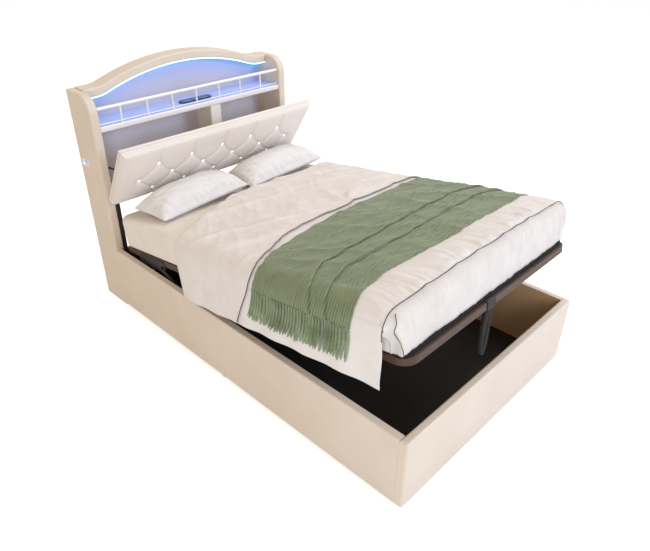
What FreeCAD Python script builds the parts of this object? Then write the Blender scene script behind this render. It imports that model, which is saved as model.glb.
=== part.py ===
"""A lift-up storage bed with an upholstered bookcase headboard, built as separate pieces.

Millimetres. X runs across the bed, Y from the footboard to the headboard, Z up.
The origin is on the floor under the middle of the bed.
The mattress platform stands part way open and the padded headboard flap rests on its stays.
"""
import FreeCAD, Part
import math
import os
import re
from types import SimpleNamespace

from Sketcher import Constraint

Vector = FreeCAD.Vector
doc = FreeCAD.newDocument("storage_bed")

# Driving dimensions, in millimetres, with the angles in degrees

SIZES = (
    # Base
    ("bed_width", 1276), ("bed_length", 2184),
    ("rail_lift", 21), ("rail_height", 334), ("rail_thick", 32), ("rail_round", 7),
    ("footboard_thick", 38), ("footboard_round", 10), ("seam_lift_gap", 217),
    ("glide_radius", 10), ("glide_inset", 60),
    ("floor_thick", 12), ("batten_width", 70), ("batten_inset", 120),
    ("bracket_leg", 40), ("bracket_thick", 3), ("bracket_height", 200), ("bracket_level", 40),
    ("joiner_length", 160), ("bolt_radius", 4), ("bolt_head_radius", 7),
    ("bolt_head_height", 4), ("bolt_inset", 35),
    # Headboard
    ("post_thick", 46), ("post_depth", 210), ("post_height", 1175), ("post_inset", 6),
    ("post_crest_radius", 90), ("post_round", 8),
    ("back_thick", 18), ("back_inset", 4), ("crossboard_thick", 18), ("crossboard_height", 319),
    ("stile_width", 22), ("stile_thick", 20),
    ("compartment_top", 650), ("compartment_thick", 18),
    ("shelf_bay_share", 0.700952), ("shelf_thick", 30), ("shelf_recess", 9), ("shelf_round", 9),
    ("divider_offset", 110), ("divider_front", 66), ("divider_front_depth", 20),
    ("divider_thick", 18),
    ("arch_step", 3), ("arch_rise", 96), ("arch_end_gap", 51), ("arch_hollow_radius", 200),
    ("crown_band", 44), ("crown_depth", 92), ("crown_round", 9), ("panel_gap", 0.2),
    ("light_drop", 6), ("light_depth", 10), ("light_setback", 6),
    ("guard_height", 84), ("guard_setback", 17), ("guard_bar_radius", 8),
    ("guard_foot_radius", 3), ("guard_foot_level", 7), ("baluster_radius", 4.5),
    ("baluster_pitch", 152), ("baluster_count", 7),
    ("charger_length", 210), ("charger_width", 48), ("charger_height", 9),
    ("charger_offset", 30), ("charger_setback", 77), ("charger_round", 2),
    ("socket_radius", 18), ("socket_depth", 5), ("socket_rise", 0.6), ("socket_offset", 52),
    ("usb_length", 30), ("usb_width", 14), ("socket_play", 0.1),
    ("switch_radius", 9), ("switch_height", 3), ("switch_offset", 100), ("switch_setback", 117),
    ("plate_length", 70), ("plate_height", 40), ("plate_thick", 3), ("plate_round", 8),
    ("plate_setback", 62), ("plate_level", 815),
    ("cap_radius", 7), ("cap_thick", 2), ("cap_front_setback", 36), ("cap_front_drop", 91),
    ("cap_back_setback", 134), ("cap_back_level", 718),
    # Mattress platform
    ("platform_foot_gap", 24), ("platform_head_gap", 32), ("platform_side_gap", 16),
    ("platform_rise", 277), ("platform_tilt", 8.6),
    ("tube_width", 25), ("tube_height", 30), ("tube_corner_radius", 60), ("tube_head_radius", 14),
    ("crossbar_width", 25), ("crossbar_height", 16), ("crossbar_count", 3),
    ("slat_width", 65), ("slat_thick", 9), ("slat_count", 12), ("slat_end_gap", 75),
    ("slat_level", 20), ("slat_play", 0.5), ("slat_bite", 14),
    ("holder_length", 20), ("holder_width", 75), ("holder_height", 14), ("holder_level", 16),
    # Lift
    ("arm_head_gap", 335), ("link_head_gap", 155), ("strut_head_gap", 180), ("pivot_drop", 18),
    ("arm_length", 360), ("arm_angle", 19.26), ("link_length", 254.3), ("link_angle", 27.43),
    ("strut_length", 284.4), ("strut_angle", 50.68),
    ("arm_width", 24), ("arm_thick", 5), ("pivot_radius", 6), ("pivot_play", 0.05),
    ("pivot_head_radius", 9), ("pivot_head_height", 2.5), ("pivot_head_gap", 0.3),
    ("layer_gap", 1), ("lift_plate_thick", 3), ("lift_plate_margin", 22),
    ("lift_plate_round", 12), ("top_bar_thick", 3), ("top_bar_margin", 36),
    ("top_bar_height", 60), ("top_bar_under", 36), ("strut_inset", 15), ("cylinder_radius", 10),
    ("cylinder_start", 8), ("cylinder_length", 176), ("bore_start", 20), ("rod_radius", 4.5),
    ("rod_start", 78), ("eye_radius", 9), ("eye_thick", 10), ("strut_pin_radius", 4),
    ("strut_spacer_radius", 7),
    # Headboard flap
    ("flap_side_gap", 16), ("flap_height", 374), ("flap_board_thick", 15), ("flap_foot_gap", 4),
    ("flap_pad_thick", 34), ("flap_crown", 8), ("flap_round", 15), ("flap_tilt", 32),
    ("hinge_setback", 3), ("hinge_drop", 2), ("knuckle_radius", 5.5), ("knuckle_length", 24),
    ("knuckle_bite", 0.5), ("knuckle_gap", 0.3), ("leaf_thick", 2), ("leaf_height", 16),
    ("strap_leaf_height", 42), ("hinge_pin_radius", 2.5), ("hinge_pitch", 440),
    ("tuft_pitch", 200), ("tuft_top_gap", 128), ("tuft_row_gap", 95),
    ("tuft_depth", 14), ("tuft_radius", 30), ("pleat_width", 12), ("pleat_depth", 7),
    ("button_radius", 11), ("button_rise", 5),
    ("stay_length", 150.8), ("stay_lower_angle", 136.2), ("stay_upper_angle", 174.9),
    ("stay_width", 10), ("stay_thick", 3), ("stay_pin_radius", 3), ("stay_gap", 0.6),
    ("stay_setback", 54), ("stay_level", 50), ("stay_plate_radius", 12), ("stay_plate_thick", 2),
    ("stay_ear_level", 200), ("stay_ear_thick", 4), ("stay_ear_radius", 8),
    ("stay_foot_width", 20), ("stay_foot_height", 40),
    # Bedding
    ("soft_gap", 0.4), ("mattress_start", 34), ("mattress_overhang", 8), ("mattress_end", 12),
    ("mattress_thick", 170), ("mattress_corner", 60), ("mattress_edge", 24),
    ("duvet_side_gap", 8), ("duvet_top_thick", 17), ("duvet_side_thick", 8), ("duvet_drop", 75),
    ("duvet_shoulder", 62), ("duvet_fold", 5), ("duvet_fold_pitch", 92), ("duvet_crown", 7),
    ("duvet_foot_start", 15), ("duvet_foot_level", 32), ("duvet_foot_corner", 48),
    ("duvet_corner_fall", 14), ("duvet_foot_lift", 118), ("duvet_corner_lift", 78),
    ("duvet_pillow_gap", 14), ("duvet_foot_round", 14),
    ("duvet_slant_run", 240), ("duvet_slant_reach", 130),
    ("throw_start", 215), ("throw_length", 575), ("throw_thick", 6), ("throw_drop", 10),
    ("pillow_width", 566), ("pillow_depth", 270), ("pillow_rise", 104), ("pillow_sag", 34),
    ("pillow_edge", 12), ("pillow_draw", 14), ("pillow_front_gap", 351), ("pillow_lift", 0.4),
    ("pillow_left_centre", 249), ("pillow_right_centre", 320), ("pillow_roll", 2),
    ("pillow_left_turn", 3), ("pillow_right_turn", 2), ("pillow_left_forward", 8),
    ("strap_offset", 62), ("strap_drop", 237), ("strap_webbing", 26), ("strap_thick", 4),
    ("strap_half_gap", 15), ("strap_wrap_width", 60),
    # Cutting and matching
    ("overrun", 1), ("same_place", 0.001),
)

# Places worked out from the driving dimensions

PLACES = (
    ("foot_face", "-bed_length / 2"),
    ("head_face", "bed_length / 2"),
    ("rail_top", "rail_lift + rail_height"),
    ("rail_outer", "bed_width / 2"),
    ("rail_inner", "rail_outer - rail_thick"),
    ("box_start", "foot_face + footboard_thick"),
    ("head_front", "head_face - post_depth"),
    ("floor_top", "rail_lift + floor_thick"),
    ("bracket_top", "rail_lift + bracket_level + bracket_height"),
    ("post_outer", "bed_width / 2 - post_inset"),
    ("post_inner", "post_outer - post_thick"),
    ("back_front", "head_face - back_inset - back_thick"),
    ("compartment_under", "compartment_top - compartment_thick"),
    ("shelf_top", "compartment_top + (post_height - compartment_top) * shelf_bay_share"),
    ("shelf_under", "shelf_top - shelf_thick"),
    ("shelf_front", "head_front + shelf_recess"),
    ("arch_shoulder", "post_height + arch_step"),
    ("arch_peak", "arch_shoulder + arch_rise"),
    ("arch_half_span", "post_inner - arch_end_gap"),
    ("arch_reach", "(arch_half_span * arch_half_span + arch_rise * arch_rise) / (2 * arch_rise)"),
    ("arch_crest_radius", "arch_reach - arch_hollow_radius"),
    ("crown_front", "head_face - crown_depth"),
    ("hinge_y", "head_front + hinge_setback"),
    ("hinge_z", "compartment_top - hinge_drop"),
    ("leaf_reach", "knuckle_radius - knuckle_bite"),
    ("flap_back", "leaf_reach + leaf_thick"),
    ("compartment_front", "hinge_y + flap_back"),
    ("flap_half_width", "rail_outer - flap_side_gap"),
    ("pad_back", "flap_back + flap_board_thick"),
    ("pad_front", "pad_back + flap_pad_thick"),
    ("flap_top", "flap_foot_gap + flap_height"),
    ("lift_y", "box_start + platform_foot_gap"),
    ("lift_z", "rail_top + platform_rise"),
    ("frame_half_width", "rail_inner - platform_side_gap"),
    ("tube_inner", "frame_half_width - tube_width"),
    ("frame_length", "head_front - platform_head_gap - lift_y"),
    ("arm_along", "frame_length - arm_head_gap"),
    ("link_along", "frame_length - link_head_gap"),
    ("strut_along", "frame_length - strut_head_gap"),
    ("drop_y", "lift_y - pivot_drop * sin(platform_tilt)"),
    ("drop_z", "lift_z - pivot_drop * cos(platform_tilt)"),
    ("arm_foot_y", "drop_y + arm_along * cos(platform_tilt) - arm_length * cos(arm_angle)"),
    ("panel_seam", "arm_foot_y - seam_lift_gap"),
    ("arm_foot_z", "drop_z - arm_along * sin(platform_tilt) - arm_length * sin(arm_angle)"),
    ("link_foot_y", "drop_y + link_along * cos(platform_tilt) - link_length * cos(link_angle)"),
    ("link_foot_z", "drop_z - link_along * sin(platform_tilt) - link_length * sin(link_angle)"),
    ("strut_foot_y",
     "drop_y + strut_along * cos(platform_tilt) - strut_length * cos(strut_angle)"),
    ("strut_foot_z",
     "drop_z - strut_along * sin(platform_tilt) - strut_length * sin(strut_angle)"),
    ("bar_outer", "frame_half_width + top_bar_thick"),
    ("arm_inner", "bar_outer + layer_gap"),
    ("arm_outer", "arm_inner + arm_thick"),
    ("lift_plate_inner", "rail_inner - lift_plate_thick"),
    ("strut_centre", "frame_half_width - strut_inset"),
    ("stay_foot_y", "head_face - stay_setback"),
    ("stay_foot_z", "compartment_top + stay_level"),
    ("stay_knee_y", "stay_foot_y + stay_length * cos(stay_lower_angle)"),
    ("stay_knee_z", "stay_foot_z + stay_length * sin(stay_lower_angle)"),
    ("stay_plate_inner", "post_inner - stay_plate_thick"),
    ("stay_lower_inner", "stay_plate_inner - stay_gap - stay_thick"),
    ("stay_upper_inner", "stay_lower_inner - stay_gap - stay_thick"),
    ("stay_ear_inner", "stay_upper_inner - stay_gap - stay_ear_thick"),
    ("mattress_under", "tube_height + soft_gap"),
    ("mattress_top", "mattress_under + mattress_thick"),
    ("mattress_half_width", "frame_half_width + mattress_overhang"),
    ("mattress_head", "frame_length + mattress_end"),
    ("pillow_front", "frame_length - pillow_front_gap"),
    ("duvet_end", "pillow_front - duvet_pillow_gap"),
    ("duvet_under", "mattress_top + soft_gap"),
    ("duvet_top", "duvet_under + duvet_top_thick"),
    ("duvet_inner", "rail_outer + duvet_side_gap"),
    ("duvet_outer", "duvet_inner + duvet_side_thick"),
    ("throw_end", "throw_start + throw_length"),
    ("button_ball", "(button_radius * button_radius + button_rise * button_rise)"
                    " / (2 * button_rise)"),
)

owner = {}


def sized(formula):
    """Writes the sheet's name before each of its names in a formula."""
    return re.sub(r"[a-z]\w*", lambda word: owner.get(word.group(), "") + word.group(), formula)


def named_sheet(label, rows):
    """Makes a spreadsheet with one named number or formula in each row."""
    sheet = doc.addObject("Spreadsheet::Sheet", label)
    for row, (name, value) in enumerate(rows, 1):
        cell = "B%d" % row
        sheet.set("A%d" % row, name)
        sheet.set(cell, "=" + sized(value) if isinstance(value, str) else str(value))
        sheet.setAlias(cell, name)
        owner[name] = label + "."
    doc.recompute()
    return {name: float(sheet.get(name)) for name, _ in rows}


d = SimpleNamespace(**named_sheet("Sizes", SIZES), **named_sheet("Places", PLACES))
workings = doc.addObject("Spreadsheet::Sheet", "Workings")
worked = {}


def worth(formula):
    """Works a formula out in a cell of its own and gives its value."""
    if formula not in worked:
        cell = "A%d" % (len(worked) + 1)
        workings.set(cell, "=" + sized(formula))
        workings.recompute()
        worked[formula] = float(workings.get(cell))
    return worked[formula]


# Frames: where a piece's own origin lies (y, z), the way it turns about X, and how far

FRAMES = {
    "platform": ("lift_y", "lift_z", -1, "platform_tilt"),
    "flap": ("hinge_y", "hinge_z", 1, "flap_tilt"),
    "arm": ("arm_foot_y", "arm_foot_z", 1, "arm_angle"),
    "link": ("link_foot_y", "link_foot_z", 1, "link_angle"),
    "strut": ("strut_foot_y", "strut_foot_z", 1, "strut_angle"),
    "lower stay": ("stay_foot_y", "stay_foot_z", 1, "stay_lower_angle"),
    "upper stay": ("stay_knee_y", "stay_knee_z", 1, "stay_upper_angle"),
}
SIDES = ((-1, "left"), (1, "right"))
nodes = []


def place(piece, at=("0", "0", "0"), frame=None):
    """Puts a piece's own origin at a point of the bed, or of a frame that turns about X."""
    x, y, z = at
    if frame:
        base_y, base_z, way, turn = FRAMES[frame]
        piece.Placement = FreeCAD.Placement(Vector(), FreeCAD.Rotation(Vector(way, 0, 0), 1))
        piece.setExpression("Placement.Rotation.Angle", sized(turn))
        swing = "%+d * sin(%s)" % (way, turn)
        y, z = ("%s + (%s) * cos(%s) - (%s) * (%s)" % (base_y, y, turn, z, swing),
                "%s + (%s) * (%s) + (%s) * cos(%s)" % (base_z, y, swing, z, turn))
    for axis, formula in zip("xyz", (x, y, z)):
        piece.setExpression("Placement.Base." + axis, sized(formula))
    return piece


def node(label, piece, frame=None):
    """Names a finished piece, which is written to a file of its own."""
    piece.Label = label
    if frame:
        place(piece, frame=frame)
    nodes.append(piece)
    return piece


def between(side, inner, outer):
    """The low and high x of something that lies between two distances from the middle."""
    return (inner, outer) if side > 0 else ("-(%s)" % outer, "-(%s)" % inner)


def long(span):
    return "(%s) - (%s)" % (span[1], span[0])


def arc(start, end, radius, turn):
    """A circle's arc from start to end, under a half circle, turning left (1) or right (-1)."""
    chord = end - start
    left = Vector(-chord.y, chord.x, 0).normalize()
    rise = math.sqrt(radius * radius - chord.Length * chord.Length / 4)
    centre = (start + end) / 2 + left * rise * turn
    angles = [math.atan2(point.y - centre.y, point.x - centre.x) for point in (start, end)]
    first, last = angles[::turn]
    return Part.ArcOfCircle(Part.Circle(centre, Vector(0, 0, 1), radius),
                            first, last + 2 * math.pi * (last < first))


def draw(sketch, steps):
    """Draws a closed loop: (u, v) is a line to that point, (u, v, radius, turn) an arc to it."""
    corners = [Vector(worth(step[0]), worth(step[1]), 0) for step in steps]
    base = sketch.GeometryCount
    heads, tails = [], []
    for number, step in enumerate(steps):
        start, end = corners[number - 1], corners[number]
        turn = step[3] if len(step) > 2 else 1
        if len(step) > 2:
            sketch.addGeometry(arc(start, end, worth(step[2]), turn))
            bend = sketch.addConstraint(Constraint("Radius", base + number, worth(step[2])))
            sketch.setExpression("Constraints[%d]" % bend, sized(step[2]))
        else:
            sketch.addGeometry(Part.LineSegment(start, end))
        heads.append(1 if turn > 0 else 2)
        tails.append(2 if turn > 0 else 1)
    for number, step in enumerate(steps):
        edge, following = base + number, base + (number + 1) % len(steps)
        sketch.addConstraint(Constraint("Coincident", edge, tails[number],
                                        following, heads[following - base]))
        pin_point(sketch, edge, tails[number], step)


def pin_point(sketch, edge, end, step):
    """Ties a point of a sketch to its two formulas."""
    for kind, axis, formula in (("DistanceX", -2, step[0]), ("DistanceY", -1, step[1])):
        if formula == "0":
            sketch.addConstraint(Constraint("PointOnObject", edge, end, axis))
        else:
            index = sketch.addConstraint(Constraint(kind, -1, 1, edge, end, worth(formula)))
            sketch.setExpression("Constraints[%d]" % index, sized(formula))


def slab(label, plane, loops, depth, holes=()):
    """A body of even depth: closed loops, and round holes (u, v, radius), drawn on a plane."""
    body = doc.addObject("PartDesign::Body", label)
    sketch = body.newObject("Sketcher::SketchObject", label + "_outline")
    face = [part for part in body.Origin.OriginFeatures if part.Role == plane + "_Plane"][0]
    sketch.AttachmentSupport = [(face, "")]
    sketch.MapMode = "FlatFace"
    for loop in loops:
        draw(sketch, loop)
    for hole in holes:
        ring = sketch.addGeometry(Part.Circle(Vector(worth(hole[0]), worth(hole[1]), 0),
                                              Vector(0, 0, 1), worth(hole[2])))
        bend = sketch.addConstraint(Constraint("Radius", ring, worth(hole[2])))
        sketch.setExpression("Constraints[%d]" % bend, sized(hole[2]))
        pin_point(sketch, ring, 3, hole)
    pad = body.newObject("PartDesign::Pad", label + "_pad")
    pad.Profile = sketch
    pad.setExpression("Length", sized(depth))
    body.Tip = pad
    doc.recompute()
    return body


def lies(edge, whole, bound):
    """Whether an edge lies all along one bound of the whole shape, such as ZMax."""
    ends = getattr(edge.BoundBox, bound[0] + "Min"), getattr(edge.BoundBox, bound[0] + "Max")
    return all(abs(end - getattr(whole.BoundBox, bound)) < d.same_place for end in ends)


def rounded(body, radius, wanted, spared=()):
    """Rounds the edges that lie on all the bounds of one wanted group, but on no spared bound."""
    base = body.Tip
    whole = base.Shape
    names = ["Edge%d" % number for number, edge in enumerate(whole.Edges, 1)
             if any(all(lies(edge, whole, bound) for bound in group) for group in wanted)
             and not any(lies(edge, whole, bound) for bound in spared)]
    fillet = body.newObject("PartDesign::Fillet", body.Name + "_round")
    fillet.Base = (base, names)
    fillet.setExpression("Radius", sized(radius))
    body.Tip = fillet
    doc.recompute()
    return body


def mirrored(body):
    """Completes a body that was drawn on the right side only."""
    half = body.Tip
    mirror = body.newObject("PartDesign::Mirrored", body.Name + "_mirror")
    mirror.Originals = [half]
    face = [part for part in body.Origin.OriginFeatures if part.Role == "YZ_Plane"][0]
    mirror.MirrorPlane = (face, [""])
    body.Tip = mirror
    doc.recompute()
    return body


def rectangle(u, v):
    return [(u[0], v[0]), (u[1], v[0]), (u[1], v[1]), (u[0], v[1])]


def closed(loop):
    """Drops a last point that only comes back to the first, and keeps its bend there."""
    return [loop[0][:2] + loop[-1][2:]] + loop[1:-1]


def bar(length, radius):
    """The loop of a flat bar with round ends, from one pivot to the other."""
    return closed([("0", "-(%s)" % radius), (length, "-(%s)" % radius),
                   ("%s + %s" % (length, radius), "0", radius, 1), (length, radius, radius, 1),
                   ("0", radius), ("-(%s)" % radius, "0", radius, 1),
                   ("0", "-(%s)" % radius, radius, 1)])


def board(label, x, y, z):
    """A board between two formulas on each axis."""
    body = slab(label, "XY", [rectangle(("0", long(x)), ("0", long(y)))], long(z))
    return place(body, (x[0], y[0], z[0]))


def box(x, y, z):
    block = doc.addObject("Part::Box", "block")
    for name, span in (("Length", x), ("Width", y), ("Height", z)):
        block.setExpression(name, sized(long(span)))
    return place(block, (x[0], y[0], z[0]))


TURNS = {"X": FreeCAD.Rotation(Vector(0, 1, 0), 90), "Y": FreeCAD.Rotation(Vector(1, 0, 0), -90),
         "Z": FreeCAD.Rotation(), "-Y": FreeCAD.Rotation(Vector(1, 0, 0), 90)}


def rod(axis, radius, start, length):
    """A round bar along an axis, from the middle of its first end."""
    cylinder = doc.addObject("Part::Cylinder", "rod")
    cylinder.Placement = FreeCAD.Placement(Vector(), TURNS[axis])
    cylinder.setExpression("Radius", sized(radius))
    cylinder.setExpression("Height", sized(length))
    return place(cylinder, start)


def crosswise(radius, x, y="0", z="0"):
    """A round bar across the bed, between two x formulas."""
    return rod("X", radius, (x[0], y, z), long(x))


def group(pieces):
    """Separate pieces that share one node."""
    together = doc.addObject("Part::Compound", "group")
    together.Links = pieces
    return together


def fused(pieces):
    joined = doc.addObject("Part::MultiFuse", "joined")
    joined.Shapes = pieces
    joined.Refine = True
    return joined


def cut(base, tool):
    remainder = doc.addObject("Part::Cut", "remainder")
    remainder.Base = base
    remainder.Tool = tool
    return remainder


def formed(label, shape, frame=None):
    """A node whose shape is worked out here from the sheets' values."""
    piece = doc.addObject("Part::Feature", label)
    piece.Shape = shape
    return node(label, piece, frame)


ALL_X = ("-post_inner", "post_inner")
BASE_X = ("-rail_inner", "rail_inner")


# Base: footboard, side rails in two panels each, storage floor, battens and glides


def base_boards():
    foot = board("footboard", ("-rail_outer", "rail_outer"), ("foot_face", "box_start"),
                 ("rail_lift", "rail_top"))
    rounded(foot, "footboard_round", (("ZMax",), ("XMin", "YMin"), ("XMax", "YMin")))
    node("footboard", foot)
    panels = (("foot", ("box_start", "panel_seam")), ("head", ("panel_seam", "head_front")))
    for side, name in SIDES:
        outside = "XMax" if side > 0 else "XMin"
        for end, y in panels:
            label = "side_rail_%s_%s" % (name, end)
            rail = board(label, between(side, "rail_inner", "rail_outer"), y,
                         ("rail_lift", "rail_top"))
            seams = ((outside, "YMin"), (outside, "YMax"), (outside, "ZMax"))
            node(label, rounded(rail, "rail_round", seams))
    for end, y in panels:
        label = "storage_floor_" + end
        node(label, board(label, BASE_X, y, ("rail_lift", "floor_top")))


def floor_supports():
    middles = ("box_start + batten_inset", "panel_seam", "head_front - batten_inset")
    node("floor_battens", group([
        box(BASE_X, ("%s - batten_width / 2" % middle, "%s + batten_width / 2" % middle),
            ("0", "rail_lift")) for middle in middles]))
    foot_y = "foot_face + footboard_thick / 2"
    spots = [("%+d * (rail_outer - glide_inset)" % side, foot_y) for side, _ in SIDES]
    spots += [("%+d * (rail_outer - rail_thick / 2)" % side, "panel_seam + glide_inset")
              for side, _ in SIDES]
    node("base_glides", group([rod("Z", "glide_radius", (x, y, "0"), "rail_lift")
                               for x, y in spots]))


def corner_bracket(side, end):
    """An angle plate in a corner of the storage box; end is 1 at the foot and -1 at the head."""
    leg, thick = "%+d * bracket_leg" % end, "%+d * bracket_thick" % end
    loop = [("0", "0"), ("%+d * bracket_leg" % -side, "0"), ("%+d * bracket_leg" % -side, thick),
            ("%+d * bracket_thick" % -side, thick), ("%+d * bracket_thick" % -side, leg),
            ("0", leg)]
    body = slab("bracket", "XY", [loop], "bracket_height")
    y = "box_start" if end > 0 else "head_front"
    return place(body, ("%+d * rail_inner" % side, y, "rail_lift + bracket_level"))


def rail_bolt(side, y, z):
    """A bolt head on a plate that lies on a rail's inner face, with its shank in the plate."""
    face = "rail_inner - bracket_thick"
    return fused([crosswise("bolt_head_radius",
                            between(side, face + " - bolt_head_height", face), y, z),
                  crosswise("bolt_radius", between(side, face, "rail_inner"), y, z)])


def end_bolt(side, end, z):
    """A bolt head on a bracket leg that lies on the footboard or on a headboard post."""
    x = "%+d * (rail_inner - bracket_leg / 2 - bracket_thick)" % side
    y, axis = ("box_start", "Y") if end > 0 else ("head_front", "-Y")
    face = "%s %+d * bracket_thick" % (y, end)
    return fused([rod(axis, "bolt_head_radius", (x, face, z), "bolt_head_height"),
                  rod(axis, "bolt_radius", (x, y, z), "bracket_thick")])


def brackets():
    levels = ("rail_lift + bracket_level + bolt_inset", "bracket_top - bolt_inset")
    plates, bolts = [], []
    for side, _ in SIDES:
        face = between(side, "rail_inner - bracket_thick", "rail_inner")
        plates.append(box(face, ("panel_seam - joiner_length / 2", "panel_seam + joiner_length / 2"),
                          ("rail_lift + bracket_level", "bracket_top")))
        spots = ["panel_seam %+d * (joiner_length / 2 - bolt_inset)" % way for way in (-1, 1)]
        for end, y in ((1, "box_start"), (-1, "head_front")):
            plates.append(corner_bracket(side, end))
            spots.append("%s %+d * (bracket_leg / 2 + bracket_thick)" % (y, end))
            bolts += [end_bolt(side, end, z) for z in levels]
        bolts += [rail_bolt(side, y, z) for y in spots for z in levels]
    bolts = group(bolts)
    node("corner_brackets", cut(group(plates), bolts))
    node("bracket_bolts", bolts)


# Headboard: posts, arch, back, shelves and divider


def arch_loop(drop):
    """Half of the arch's line, this far under its top, from the middle to a post."""
    join = "((arch_crest_radius - (%s)) / arch_reach)" % drop
    meet_z = "arch_peak - arch_crest_radius + (arch_shoulder - arch_peak + arch_reach) * " + join
    return [("0", "arch_peak - (%s)" % drop),
            ("arch_half_span * " + join, meet_z, "arch_crest_radius - (%s)" % drop, -1),
            ("arch_half_span", "arch_shoulder - (%s)" % drop,
             "arch_hollow_radius + (%s)" % drop, 1),
            ("post_inner", "arch_shoulder - (%s)" % drop)]


def turned_back(line):
    """The same line, walked from its other end."""
    points = [step[:2] for step in line][::-1]
    bends = [step[2:] for step in line][:0:-1]
    return [points[0]] + [point + ((bend[0], -bend[1]) if bend else ())
                          for point, bend in zip(points[1:], bends)]


def arched(label, lower, upper, back, depth):
    """A piece under the arch, from a lower line to an upper one, with its back at a formula."""
    body = mirrored(slab(label, "XZ", [lower + turned_back(upper)], depth))
    return place(body, ("0", back, "0"))


def headboard_shell():
    crest = "post_crest_radius"
    loop = [("0", "0"), ("post_depth", "0"), ("post_depth", "post_height"),
            (crest, "post_height"), ("0", "post_height - " + crest, crest, 1)]
    for side, name in SIDES:
        label = "headboard_post_" + name
        post = slab(label, "YZ", [loop], "post_thick")
        rounded(post, "post_round", (("XMin",), ("XMax",)), ("ZMin",))
        x = between(side, "post_inner", "post_outer")
        node(label, place(post, (x[0], "head_front", "0")))
    crown = arched("arch_crown", arch_loop("crown_band"), arch_loop("0"), "head_face",
                   "crown_depth")
    node("arch_crown", rounded(crown, "crown_round", (("YMin",),)))
    flat = [("0", "compartment_under"), ("post_inner", "compartment_under")]
    node("headboard_back_panel", arched("headboard_back_panel", flat,
                                        arch_loop("crown_band + panel_gap"),
                                        "head_face - back_inset", "back_thick"))
    strip_depth = "crown_band + light_drop"
    node("arch_light_strip", arched("arch_light_strip", arch_loop(strip_depth),
                                    arch_loop("crown_band + panel_gap"),
                                    "crown_front + light_setback + light_depth", "light_depth"))


def headboard_boards():
    shelf = board("display_shelf", ALL_X, ("shelf_front", "back_front"),
                  ("shelf_under", "shelf_top"))
    node("display_shelf", rounded(shelf, "shelf_round", (("YMin", "ZMin"), ("YMin", "ZMax"))))
    node("compartment_floor", board("compartment_floor", ALL_X, ("compartment_front", "back_front"),
                                    ("compartment_under", "compartment_top")))
    depth = "back_front - shelf_front"
    half, web = "divider_front / 2", "divider_thick / 2"
    loop = [("-" + half, "0"), (half, "0"), (half, "divider_front_depth"),
            (web, "divider_front_depth"), (web, depth), ("-" + web, depth),
            ("-" + web, "divider_front_depth"), ("-" + half, "divider_front_depth")]
    divider = slab("compartment_divider", "XY", [loop], "shelf_under - compartment_top")
    node("compartment_divider", place(divider, ("divider_offset", "shelf_front",
                                                "compartment_top")))
    node("headboard_stiles", group([
        box(between(side, "post_inner - stile_width", "post_inner"),
            ("head_front", "head_front + stile_thick"), ("0", "compartment_under"))
        for side, _ in SIDES]))
    inside = "post_inner - stile_width"
    node("head_crossboard", board("head_crossboard", ("-(%s)" % inside, inside),
                                  ("head_front", "head_front + crossboard_thick"),
                                  ("rail_lift", "rail_lift + crossboard_height")))


# Headboard fittings: guard rail, charging panel, touch switch, side plate and caps


def guard_rail():
    y = "shelf_front + guard_setback"
    bars = [crosswise("guard_bar_radius", ALL_X, y, "shelf_top + guard_height"),
            crosswise("guard_foot_radius", ALL_X, y, "shelf_top + guard_foot_level")]
    middle = (d.baluster_count - 1) / 2
    for number in range(int(d.baluster_count)):
        x = "%g * baluster_pitch" % (number - middle)
        bars.append(rod("Z", "baluster_radius", (x, y, "shelf_top"), "guard_height"))
    node("shelf_guard_rail", fused(bars))


def socket_shapes(play):
    """The two round outlets and the charging port, each this much larger all round."""
    top = "charger_height + socket_rise"
    floor = "charger_height - socket_depth"
    shapes = [rod("Z", "socket_radius + " + play,
                  ("%+d * socket_offset" % way, "0", floor), "%s - (%s)" % (top, floor))
              for way in (-1, 1)]
    shapes.append(box(("-usb_length / 2 - " + play, "usb_length / 2 + " + play),
                      ("-usb_width / 2 - " + play, "usb_width / 2 + " + play), (floor, top)))
    return shapes


def shelf_fittings():
    spot = ("charger_offset", "shelf_front + charger_setback", "shelf_top")
    radius, length = "charger_width / 2", "charger_length - charger_width"
    body = slab("charger", "XY", [bar(length, radius)], "charger_height")
    rounded(body, "charger_round", (("ZMax",),))
    place(body, ("-(%s) / 2" % length, "0", "0"))
    panel = cut(body, group(socket_shapes("socket_play")))
    sockets = group(socket_shapes("0"))
    node("charging_panel", place(panel, spot))
    node("charging_sockets", place(sockets, spot))
    node("shelf_touch_switch", rod("Z", "switch_radius",
                                   ("-switch_offset", "shelf_front + switch_setback", "shelf_top"),
                                   "switch_height"))


def post_fittings():
    half = "plate_length / 2", "plate_height / 2"
    loop = rectangle(("-" + half[0], half[0]), ("-" + half[1], half[1]))
    plate = slab("side_control_plate", "YZ", [loop], "plate_thick")
    rounded(plate, "plate_round", (("YMin", "ZMin"), ("YMin", "ZMax"),
                                   ("YMax", "ZMin"), ("YMax", "ZMax")))
    node("side_control_plate", place(plate, ("-post_outer - plate_thick",
                                             "head_face - plate_setback", "plate_level")))
    spots = (("head_front + cap_front_setback", "post_height - cap_front_drop"),
             ("head_front + cap_back_setback", "cap_back_level"))
    node("post_cover_caps", group([
        crosswise("cap_radius", between(side, "post_outer", "post_outer + cap_thick"), y, z)
        for side, _ in SIDES for y, z in spots]))


# Mattress platform: tube frame, cross bars, slats and their holders, and the pull strap


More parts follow.
